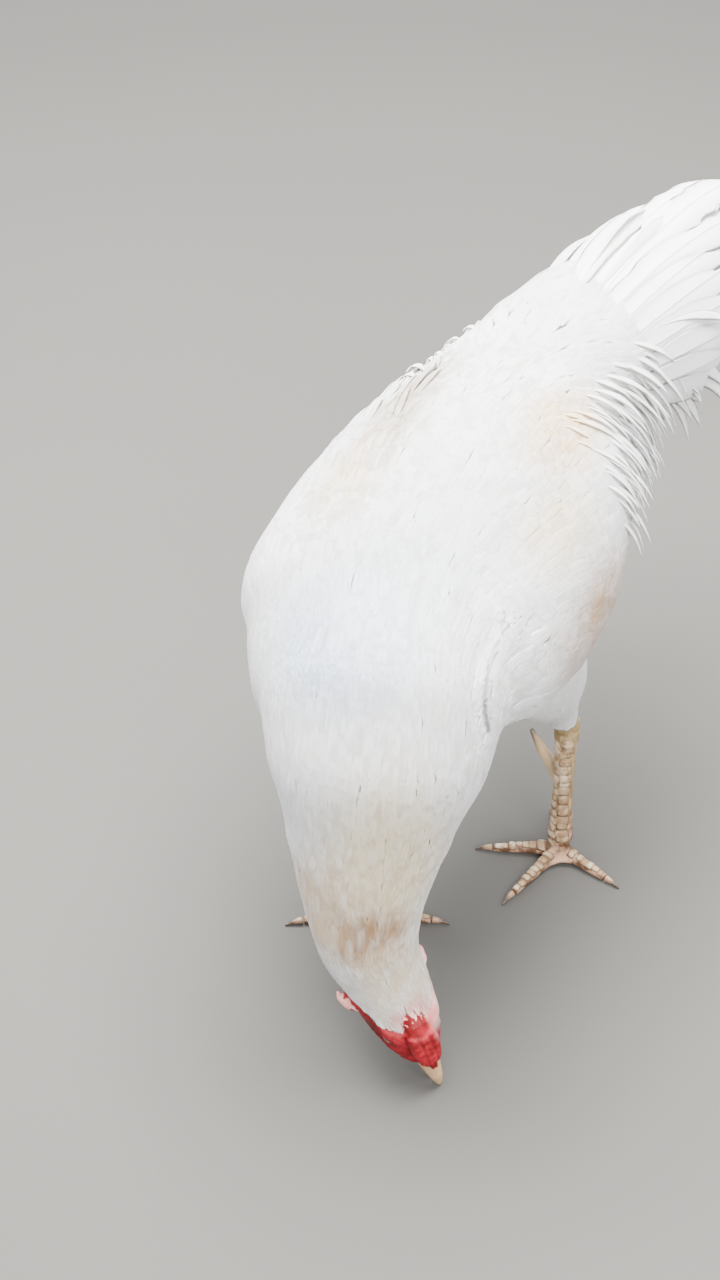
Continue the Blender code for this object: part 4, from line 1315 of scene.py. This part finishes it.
def tail_down(side, hand):
    """A closed cushion close under the broad feathers, so that no gap between them looks into a hollow."""
    cushion = bmesh.new()
    bmesh.ops.create_grid(cushion, x_segments=24, y_segments=24, size=0.5)
    for vertex in cushion.verts:
        share, spread = vertex.co.x + 0.5, vertex.co.y + 0.5
        length = RIDGE_LENGTH * (1 - SIDE_SHORTENING * spread ** 0.8)
        angle = math.radians(DOWN_ANGLE + FAN_ANGLE * spread)
        vertex.co = tent_point(side, length, DOWN_REACH * share, angle, DOWN_LIFT)
    bmesh.ops.solidify(cushion, geom=cushion.faces[:], thickness=DOWN_THICKNESS)
    bmesh.ops.recalc_face_normals(cushion, faces=cushion.faces[:])
    name = f"tail_down_{hand}"
    firm_pieces.append(add_piece(name, mesh_from(name, cushion)))
    print(name, len(firm_pieces[-1].data.polygons), "faces")


for side, hand in SIDES:
    tail_down(side, hand)


# %% Hang the sickles, lancets and side hangers
def smooth_line(anchors, steps):
    """Points along a smooth curve through anchors, at shares of its stretches."""
    anchors = np.array([tuple(anchor) for anchor in anchors])
    padded = np.concatenate([[2 * anchors[0] - anchors[1]], anchors, [2 * anchors[-1] - anchors[-2]]])
    points = []
    for position in steps * (len(anchors) - 1):
        stretch = min(int(position), len(anchors) - 2)
        t = position - stretch
        a, b, c, d = padded[stretch:stretch + 4]
        points.append(0.5 * (2 * b + (c - a) * t + (2 * a - 5 * b + 4 * c - d) * t ** 2
                             + (3 * b - 3 * c + d - a) * t ** 3))
    return np.array(points)


def hanging_feather(line, facing, half_width, profile, curl):
    """Middle, edges and normals of a feather along a line, whose outer face looks towards facing."""
    heading = unit(np.gradient(line, axis=0))
    across = unit(np.cross(heading, facing))
    normal = np.cross(across, heading)
    reach = across * (half_width * profile)[:, None]
    sunk = normal * (half_width * profile * curl)[:, None]
    return line, line - reach - sunk, line + reach - sunk, normal


def stacked(feathers):
    """Several feathers' arrays as one set."""
    return [np.array([feather[part] for feather in feathers]) for part in range(4)]


# Distance out from the ridge, swing to the left, distance back and height
SICKLE_STATIONS = ((0.000, 0.000, 0.000, 0.000), (0.004, 0.006, 0.075, 0.018), (0.010, 0.010, 0.128, -0.014),
                   (0.022, 0.012, 0.156, -0.064), (0.036, 0.014, 0.170, -0.120))
SICKLE_PROFILE = np.interp(BIG_STEPS, (0, 0.1, 0.4, 0.75, 0.92, 1), (0.3, 0.55, 1, 0.9, 0.45, 0.05))
SICKLE_HALF_WIDTH = 0.0108
for side, hand in SIDES:
    sickles = []
    for size, aside, sink in ((1.0, 0.0, 0.0), (0.80, 0.009, -0.006)):
        root = TAIL_ROOT + Vector(((0.010 + aside) * side, 0.050, TENT_RADIUS + 0.016 + sink))
        anchors = [root + Vector((out * side + swing, along * size, up * size))
                   for out, swing, along, up in SICKLE_STATIONS]
        line = smooth_line(anchors, BIG_STEPS)
        facing = np.array((side * 0.9, 0.25, 0.55))
        profile = ragged(SICKLE_PROFILE, random_numbers, 0.04)
        sickles.append(hanging_feather(line, facing, SICKLE_HALF_WIDTH * size, profile, curl=0.18))
    sickles = stacked(sickles)
    add_feathers(f"sickles_{hand}", big_vane, sickles, thickness=0.0004, replaced=[f"sickle_{hand}"])
    shafts = slimmed(sickles, half_width=0.0008, lift=0.0002)
    add_feathers(f"sickle_shafts_{hand}", big_vane, shafts, thickness=0.0005)

lancet_vane = vane_pattern(6, 10)
LANCET_ROWS = 12
LANCET_STEPS = np.linspace(0, 1, LANCET_ROWS)
LANCET_PROFILE = np.interp(LANCET_STEPS, (0, 0.2, 0.45, 0.7, 0.9, 1), (0.1, 0.4, 1, 0.85, 0.45, 0.04))
MIDDLE_OF_TRUNK = -0.034
TAIL_LANCETS = 30
SADDLE_LANCETS = 130
# Steps of this share of a circle never fall on one another
GOLDEN_SHARE = 0.618


def lancet(root, heading, facing, length, half_width, droop):
    """A slender feather that leaves along heading and droops towards its tip."""
    steps = LANCET_STEPS[:, None]
    line = np.array(root) + np.array(heading) * length * (steps - 0.42 * droop * steps ** 2)
    line = line - np.array((0, 0, 1)) * droop * length * steps ** 2
    return hanging_feather(line, np.array(facing), half_width, LANCET_PROFILE, curl=0.14)


for side, hand in SIDES:
    lancets = []
    for number in range(TAIL_LANCETS):
        share = number / (TAIL_LANCETS - 1)
        angle = math.radians(48 + 58 * ((number * GOLDEN_SHARE) % 1))
        start = 0.02 + 0.36 * share
        length = random_numbers.uniform(0.060, 0.125) * (1 - 0.3 * share)
        root = tent_point(side, 0.200, start, angle, -0.001)
        outward = TAIL_ACROSS * side * math.sin(angle) + TAIL_UPWARD * math.cos(angle)
        heading = (TAIL_ALONG + outward * 0.12 + Vector((side * 0.06, 0, -0.15))).normalized()
        heading = (heading + Vector(random_numbers.normal(0, 0.09, 3))).normalized()
        droop = random_numbers.uniform(0.25, 0.60) * (0.5 + math.sin(angle) * 0.7)
        half_width = random_numbers.uniform(0.0040, 0.0070)
        lancets.append(lancet(root, heading, outward + UP * 0.2, length, half_width, droop))
    add_feathers(f"tail_lancets_{hand}", lancet_vane, stacked(lancets), thickness=0.0003)
    hangers = []
    for number in range(SADDLE_LANCETS):
        share = (number * GOLDEN_SHARE) % 1
        level = number / (SADDLE_LANCETS - 1)
        aside = MIDDLE_OF_TRUNK + side * (0.046 + 0.028 * level)
        start = FEET + Vector((aside, 0.065 + 0.130 * share, 0.412 - 0.085 * level))
        place, face, weight = skin_at(np.array([start]))
        normal = Vector(unit(blended(calm_normals, face, weight))[0])
        root = Vector(place[0]) + normal * 0.0004
        heading = Vector((side * 0.30, 0.62, -0.50)) + Vector(random_numbers.normal(0, 0.07, 3))
        heading = heading - normal * (heading.dot(normal) - 0.20)
        length = random_numbers.uniform(0.042, 0.074) * (1 - 0.2 * level)
        droop = random_numbers.uniform(0.35, 0.60)
        facing = normal + Vector((side * 0.4, 0.3, 0))
        half_width = random_numbers.uniform(0.0020, 0.0034)
        hangers.append(lancet(root, heading.normalized(), facing, length, half_width, droop))
    add_feathers(f"saddle_lancets_{hand}", lancet_vane, stacked(hangers), thickness=0.0003)

# %% [markdown]
# ## Long wing feathers
# Behind the folded wing the tips of the primaries show, one over the other like a closed fan. Each is a long
# strip that stands on its edge, and the fan is made by lifting each root a little less than its tip.

# %% Fan the primaries
PRIMARY_LINE = ((0.085, 0.066, 0.300), (0.130, 0.062, 0.300), (0.175, 0.050, 0.310), (0.215, 0.038, 0.320),
                (0.258, 0.026, 0.333))
PRIMARY_COUNT = 6
MIDDLE_PRIMARY = (PRIMARY_COUNT - 1) / 2
PRIMARY_HALF_WIDTH = 0.0088
PRIMARY_PROFILE = np.interp(BIG_STEPS, (0, 0.2, 0.7, 0.93, 1), (0.7, 1, 0.85, 0.5, 0.08))
for side, hand in SIDES:
    primaries = []
    for number in range(PRIMARY_COUNT):
        shift = (number - MIDDLE_PRIMARY) / MIDDLE_PRIMARY
        anchors = []
        for step, (along, aside, height) in enumerate(PRIMARY_LINE):
            share = step / (len(PRIMARY_LINE) - 1)
            reach = along - 0.020 * share * number / PRIMARY_COUNT
            out = aside - 0.0012 * number + 0.004
            up = height + 0.024 - shift * 0.015 * (1 - 0.55 * share)
            anchors.append(FEET + Vector((MIDDLE_OF_TRUNK + side * out, reach - 0.021, up)))
        line = smooth_line(anchors, BIG_STEPS)
        facing = np.array((side, 0.1, 0.25))
        profile = ragged(PRIMARY_PROFILE, random_numbers, 0.04)
        primaries.append(hanging_feather(line, facing, PRIMARY_HALF_WIDTH, profile, curl=0.10))
    primaries = stacked(primaries)
    name = f"long_wing_feathers_{hand}"
    add_feathers(name, big_vane, primaries, thickness=0.0004, replaced=[f"primaries_{hand}"])
    shafts = slimmed(primaries, half_width=0.0009, lift=0.0002)
    add_feathers(f"wing_shafts_{hand}", big_vane, shafts, thickness=0.0005)

# %% [markdown]
# ## Scutes
# The front of a cock's shank has two rows of horny plates that overlap like roof tiles, the back has one, and
# each toe has one row on top. Each plate is a small curved shell. Its corners are found by casting rays out
# from the middle of the bone, so that every plate fits the skin under it, and its far edge stands up a little
# over the next plate.


# %% Make the pattern of a plate
def plate_pattern():
    """A thin closed shell: place across, share along and layer of each vertex, and the faces' corners."""
    shell = bmesh.new()
    bmesh.ops.create_grid(shell, x_segments=6, y_segments=3, size=1)
    bmesh.ops.solidify(shell, geom=shell.faces[:], thickness=0.5)
    bmesh.ops.recalc_face_normals(shell, faces=shell.faces[:])
    shell.verts.ensure_lookup_table()
    places = np.array([vertex.co[:] for vertex in shell.verts])
    polygons = [[vertex.index for vertex in polygon.verts] for polygon in shell.faces]
    shell.free()
    top = places[:, 2] > places[:, 2].mean()
    return places[:, 0], (places[:, 1] + 1) / 2, top, polygons


plate_across, plate_along, plate_top, plate_polygons = plate_pattern()
print("a plate has", len(plate_across), "vertices and", len(plate_polygons), "faces")


# %% Set the plates on shanks and toes
RAY_LENGTH = 0.013
ROOT_UNDER_SKIN = 0.0006


def plate_places(path, facing, turn, half_turn, start, end, thick):
    """The vertices of one plate over the stretch of a path between two shares of it."""
    heading = (path[-1] - path[0]).normalized()
    side = heading.cross(facing).normalized()
    outward = side.cross(heading).normalized()
    places = []
    for across, along, top in zip(plate_across, plate_along, plate_top):
        share = start + (end - start) * along
        middle = path[0].lerp(path[-1], share)
        angle = turn + half_turn * across * (1 - 0.12 * (2 * along - 1) ** 2)
        ray = outward * math.cos(angle) + side * math.sin(angle)
        hit, _, _, _ = skin_tree.ray_cast(middle, ray, RAY_LENGTH)
        if hit is None:
            return None
        edge = max(abs(across) ** 4, (2 * abs(along - 0.5)) ** 8)
        height = thick * (0.35 + 0.65 * along) * (1 - 0.75 * edge) if top else -ROOT_UNDER_SKIN
        places.append(hit + ray * height)
    return places


# Turn round the shank from its front, number of plates and shift of the row, by which rows interlock
SHANK_ROWS = ((-0.62, 15, 0.0), (0.62, 15, 0.5), (math.pi, 15, 0.2))
SHANK_HALF_TURN = 0.66
CLAW_ROOT = 0.011
# Shares of the shank and of a toe where plates start, the share of the shank they take, and a plate's length
SHANK_PLATES_START = 0.08
SHANK_PLATES_REACH = 0.84
TOE_PLATES_START = 0.10
TOE_PLATE_LENGTH = 0.0052
rows_of_plates = []
for hand in PAIRS:
    foot, hock = FOOT[hand], HOCK[hand]
    forward = Vector((0, -1, 0))
    for turn, count, offset in SHANK_ROWS:
        for number in range(count):
            at = number + offset + random_numbers.normal(0, 0.16)
            start = SHANK_PLATES_START + SHANK_PLATES_REACH * at / count
            end = start - SHANK_PLATES_REACH / count * random_numbers.uniform(1.02, 1.42)
            thick = (0.0008 - 0.0006 * start) * random_numbers.uniform(0.5, 1.4)
            around = turn + random_numbers.normal(0, 0.09)
            wide = SHANK_HALF_TURN * random_numbers.uniform(0.80, 1.12)
            rows_of_plates.append(((foot, hock), forward, around, wide, start, end, thick))
    for toe in TOES:
        path = (toe_point(hand, toe, 0, 0.0062), toe_point(hand, toe, 1, 0.0040))
        length = (path[1] - path[0]).length
        last = 1 - CLAW_ROOT / length
        reach = last - TOE_PLATES_START
        count = int(length * reach / TOE_PLATE_LENGTH)
        for number in range(count):
            start = TOE_PLATES_START + reach * (number + random_numbers.normal(0, 0.12)) / count
            end = start + reach / count * random_numbers.uniform(1.0, 1.45)
            around = random_numbers.normal(0, 0.16)
            wide = random_numbers.uniform(0.95, 1.35)
            joint = 0.00055 + 0.0013 * math.sin(start * math.pi * 3) ** 8
            rows_of_plates.append((path, UP, around, wide, start, min(end, last), joint))
plate_sets = [plate_places(*row) for row in rows_of_plates]
plate_sets = np.array([places for places in plate_sets if places is not None])
plate_sets += random_numbers.normal(0, 0.00005, plate_sets.shape)
scute_mesh = joined_mesh("scutes", plate_polygons, plate_sets)
add_values(scute_mesh, len(plate_sets), plate_along, random_numbers)
add_patches(scute_mesh, plate_polygons, plate_sets.mean(1), np.stack([plate_across, plate_along * 2 - 1], 1))
rim = np.maximum(np.abs(plate_across) ** 3, (2 * np.abs(plate_along - 0.5)) ** 5)
rim_attribute = scute_mesh.attributes.new("rim", "FLOAT", "POINT")
rim_attribute.data.foreach_set("value", np.tile(rim, len(plate_sets)))
add_piece("scutes", scute_mesh)
print(len(plate_sets), "plates of", len(rows_of_plates))

# %% [markdown]
# ## Bill, eyes, claws and spurs
# Bill, claws and spurs keep the solids' shapes, which a fine remesh rounds off. The bill gets a ridge along
# its top and two nostrils. An eye is a new ball with a low bulge in front, and its iris and pupil are rings
# of colour round the point that looks out.


# %% Round off the horny parts
def horny_part(name, node_names, voxel, times, change=None):
    """An object of smooth copies of nodes, which it replaces."""
    solid = bmesh.new()
    for node_name in node_names:
        add_to(solid, merged_copy(node_name))
    solid = remeshed(solid, voxel)
    smooth(solid, times)
    solid.normal_update()
    if change:
        for vertex in solid.verts:
            vertex.co += vertex.normal * change(vertex.co)
    lowest = min(vertex.co.z for vertex in solid.verts)
    if lowest < 0:
        bmesh.ops.translate(solid, verts=solid.verts[:], vec=(0, 0, -lowest))
    piece = add_piece(name, mesh_from(name, solid), node_names)
    print(name, len(piece.data.polygons), "faces")
    return piece


BILL_LENGTH = 0.040
RIDGE_HEIGHT = 0.0005
NOSTRIL_DEPTH = 0.0012
NOSTRIL_BEHIND = 0.030
NOSTRIL_ABOVE = 0.0068
SPUR_START = 0.009
SPUR_REACH = 0.030
CLAW_LENGTH = 0.018
HORN_VOXEL = 0.0005
SPUR_VOXEL = 0.0006


def bill_relief(point):
    """A ridge along the top of the bill and two nostrils."""
    behind, aside, above = head_place(point)
    ridge = RIDGE_HEIGHT * bump(aside, 0, 0.0018) * smooth_step(0.004, 0.008, above)
    apart = math.hypot((behind - NOSTRIL_BEHIND) / 2.0, above - NOSTRIL_ABOVE)
    nostril = NOSTRIL_DEPTH * bump(apart, 0, 0.0009) * smooth_step(0.003, 0.005, abs(aside))
    return ridge - nostril - 0.0001


def share_attribute(mesh, measure):
    """Write a value of the place on every point of a mesh."""
    attribute = mesh.attributes.new("along", "FLOAT", "POINT")
    attribute.data.foreach_set("value", [measure(vertex.co) for vertex in mesh.vertices])


def along_bill(point):
    """0 at the tip of the bill and 1 at its root."""
    return min(max(head_place(point)[0] / BILL_LENGTH, 0), 1)


def along_spur(point):
    """0 where a spur leaves the shank and 1 at its tip."""
    away = []
    for hand in PAIRS:
        axis = HOCK[hand] - FOOT[hand]
        offset = point - FOOT[hand]
        away.append((offset - axis * offset.dot(axis) / axis.length_squared).length)
    return min(max((min(away) - SPUR_START) / SPUR_REACH, 0), 1)


def along_claw(point):
    """0 where a claw leaves its toe and 1 at its tip."""
    place = Vector((point.x, point.y, 0))
    away = min((place - toe_point(hand, toe, 1, 0)).length for hand in PAIRS for toe in TOES)
    return max(1 - away / CLAW_LENGTH, 0)


bill = horny_part("bill", ["bill_upper", "bill_lower"], HORN_VOXEL, 4, bill_relief)
share_attribute(bill.data, along_bill)
spurs = horny_part("spurs", ["spur_left", "spur_right"], SPUR_VOXEL, 3)
share_attribute(spurs.data, along_spur)
claws = []
for hand in PAIRS:
    claws.append(horny_part(f"claws_{hand}", [f"claw_{toe}_{hand}" for toe in TOES], HORN_VOXEL, 3))
    share_attribute(claws[-1].data, along_claw)

# %% Set the eyes
EYE_RADIUS = 0.0059
EYE_BULGE = 0.07


def eye_placing(side):
    """An eye's middle and the way it looks."""
    middle = on_head(EYE_BEHIND, side * (EYE_ASIDE - 0.0003), EYE_ABOVE)
    return middle, (-HEAD_SIDE * side + HEAD_FORWARD * 0.12 + HEAD_UP * 0.06).normalized()


both_eyes = bmesh.new()
for side in (1, -1):
    ball = bmesh.new()
    bmesh.ops.create_uvsphere(ball, u_segments=32, v_segments=24, radius=EYE_RADIUS)
    middle, outward = eye_placing(side)
    for vertex in ball.verts:
        angle = math.atan2(math.hypot(vertex.co.x, vertex.co.y), vertex.co.z)
        vertex.co *= 1 + EYE_BULGE * bump(angle, 0, 0.55)
    bmesh.ops.rotate(ball, verts=ball.verts[:], matrix=outward.to_track_quat("Z", "Y").to_matrix())
    bmesh.ops.translate(ball, verts=ball.verts[:], vec=middle)
    add_to(both_eyes, ball)
eye_mesh = mesh_from("eyes", both_eyes)


def gaze(point):
    """The angle of a point of an eye from where the eye looks, 0 in front and 1 behind."""
    middle, outward = eye_placing(1 if head_place(point)[1] > 0 else -1)
    return (point - middle).angle(outward) / math.pi


share_attribute(eye_mesh, gaze)
add_piece("eyes", eye_mesh, ("eye_left", "eye_right"))
print("two eyes", round(EYE_RADIUS * 2000, 1), "mm across")

# %% [markdown]
# ## Bare skin
# A cock's face and comb are red because blood shows through thin skin. The red is deeper in patches and paler
# where it meets the feathers, and painted shade under the brow darkens it round the eye. The lobes are almost
# white with a pink tinge, and the legs are tan and dirty brown between the scales. Masks on the skin's points
# say which part is which.

# %% Finish the skin
bare_attribute = skin_mesh.attributes.new("bare", "FLOAT_COLOR", "POINT")
bare_attribute.data.foreach_set("color", bare_colour.ravel())
skin_material, tree, shader = new_material("skin", 0.55, subsurface=0.08)
shader.inputs["Specular IOR Level"].default_value = 0.25
place = object_place(tree)
masks = tree.nodes.new("ShaderNodeSeparateColor")
bare_masks = add_attribute(tree, "bare")
tree.links.new(bare_masks.outputs["Color"], masks.inputs["Color"])
blood = add_range(tree, add_noise(tree, place, 75, 4), 0.38, 0.62)
face_red = add_mix(tree, blood, (0.13, 0.002, 0.004), (0.27, 0.006, 0.014))
freckle = add_range(tree, add_noise(tree, place, 420, 2), 0.56, 0.72, 0, 0.25)
face_red = add_mix(tree, freckle, face_red, (0.36, 0.035, 0.040))
# Painted shade: the face's red darkens round the eye, under the brow
painted_eye_shade = add_math(tree, "MULTIPLY", bare_masks.outputs["Alpha"], 0.75)
face_red = add_mix(tree, painted_eye_shade, face_red, (0.06, 0.003, 0.004))
lobe = add_mix(tree, blood, (0.58, 0.20, 0.18), (0.78, 0.48, 0.43))
low = add_range(tree, add_vector(tree, "DOT_PRODUCT", place, UP, 1), 0.02, 0.075)
dirt = add_range(tree, add_noise(tree, place, 130, 5), 0.40, 0.60)
foot = add_mix(tree, dirt, (0.09, 0.045, 0.024), (0.36, 0.22, 0.14))
shank = add_mix(tree, dirt, (0.19, 0.13, 0.058), (0.32, 0.235, 0.12))
# Under the coat the skin takes the plumage's colours, darkened as painted shade of the feathers over it
colour = use_group(tree, markings_and_shade).outputs["Color"]
colour = add_mix(tree, 1.0, colour, (0.86, 0.84, 0.82), "MULTIPLY")
colour = add_mix(tree, masks.outputs["Red"], colour, face_red)
colour = add_mix(tree, masks.outputs["Green"], colour, lobe)
colour = add_mix(tree, masks.outputs["Blue"], colour, add_mix(tree, low, foot, shank))
tree.links.new(colour, shader.inputs["Base Color"])
tree.links.new(add_range(tree, dirt, 0, 1, 0.42, 0.62), shader.inputs["Roughness"])
pores = tree.nodes.new("ShaderNodeTexVoronoi")
pores.inputs["Scale"].default_value = 900
tree.links.new(place, pores.inputs["Vector"])
add_bump(tree, shader, pores.outputs["Distance"], 0.00035, 0.6)
skin_mesh.materials.append(skin_material)
for piece in plumage:
    piece.data.materials.append(soft_plumage)
for piece in firm_pieces:
    piece.data.materials.append(firm_plumage)
print("skin and", len(plumage), "pieces of plumage finished")

# %% [markdown]
# ## Horn, scutes and eyes
# Horn is pale and half glossy, with darker streaks along it and dark tips on the spurs. Scutes are pale tan
# in their middle and brown with dirt round their rims. The eyes are the only wet, glossy parts.


# %% Finish the hard parts
def horn_material(name, pale, dark, along_low, along_high):
    """Streaked horn that turns from pale to dark along the part."""
    material, tree, shader = new_material(name, 0.38)
    place = object_place(tree)
    streak = add_noise(tree, place, 240, 4, (1, 1, 0.35))
    along = add_attribute(tree, "along").outputs["Fac"]
    share = add_range(tree, along, along_low, along_high)
    mixed = add_math(tree, "MULTIPLY_ADD", streak, 0.7, add_math(tree, "SUBTRACT", share, 0.35))
    colour = add_mix(tree, add_range(tree, mixed, 0.0, 1.0), pale, dark)
    dirt = add_range(tree, add_noise(tree, place, 900, 3), 0.50, 0.64, 0, 0.5)
    colour = add_mix(tree, dirt, colour, (0.30, 0.20, 0.12))
    tree.links.new(colour, shader.inputs["Base Color"])
    tree.links.new(add_range(tree, streak, 0.3, 0.7, 0.30, 0.50), shader.inputs["Roughness"])
    add_bump(tree, shader, streak, 0.0003, 0.5)
    return material


HORNS = (
    ("bill horn", [bill], (0.38, 0.25, 0.13), (0.26, 0.11, 0.07), 0.2, 1.0),
    ("spur horn", [spurs], (0.42, 0.30, 0.16), (0.045, 0.035, 0.030), 0.45, 0.95),
    ("claw horn", claws, (0.30, 0.18, 0.10), (0.040, 0.025, 0.018), 0.35, 0.80),
)
for name, parts, *look in HORNS:
    material = horn_material(name, *look)
    for piece in parts:
        piece.data.materials.append(material)

scute_material, tree, shader = new_material("scutes", 0.45)
place = object_place(tree)
tint = add_attribute(tree, "tint").outputs["Fac"]
colour = add_mix(tree, tint, (0.28, 0.195, 0.11), (0.54, 0.43, 0.29))
stain = add_range(tree, add_noise(tree, place, 150, 5), 0.42, 0.60, 0, 0.85)
colour = add_mix(tree, stain, colour, (0.20, 0.11, 0.05))
rim_value = add_range(tree, add_attribute(tree, "rim").outputs["Fac"], 0.35, 0.95, 0, 0.9)
low = add_range(tree, add_vector(tree, "DOT_PRODUCT", place, UP, 1), 0.045, 0.085, 1, 0.25)
rim_value = add_math(tree, "MULTIPLY", rim_value, low)
colour = add_mix(tree, rim_value, colour, (0.12, 0.06, 0.03))
tree.links.new(colour, shader.inputs["Base Color"])
tree.links.new(add_range(tree, stain, 0, 0.75, 0.38, 0.60), shader.inputs["Roughness"])
add_bump(tree, shader, add_noise(tree, place, 700, 4), 0.0003, 0.5)
scute_mesh.materials.append(scute_material)

eye_material, tree, shader = new_material("eye", 0.08)
shader.inputs["Coat Weight"].default_value = 1.0
shader.inputs["Coat Roughness"].default_value = 0.03
look = add_attribute(tree, "along").outputs["Fac"]
rings = tree.nodes.new("ShaderNodeValToRGB")
rings.color_ramp.elements[0].position = 0.115
rings.color_ramp.elements[0].color = (0.004, 0.003, 0.003, 1)
rings.color_ramp.elements[1].position = 0.40
rings.color_ramp.elements[1].color = (0.16, 0.07, 0.04, 1)
IRIS_RINGS = ((0.130, (0.26, 0.11, 0.035)), (0.205, (0.34, 0.19, 0.075)), (0.240, (0.10, 0.05, 0.03)))
for position, ring_colour in IRIS_RINGS:
    element = rings.color_ramp.elements.new(position)
    element.color = (*ring_colour, 1)
tree.links.new(look, rings.inputs["Fac"])
fibres = add_range(tree, add_noise(tree, object_place(tree), 1500, 3), 0.35, 0.65, 0, 0.25)
colour = add_mix(tree, fibres, rings.outputs["Color"], (0.30, 0.12, 0.04), "MULTIPLY")
tree.links.new(colour, shader.inputs["Base Color"])
eye_mesh.materials.append(eye_material)
print("bill, spurs, claws, scutes and eyes finished")
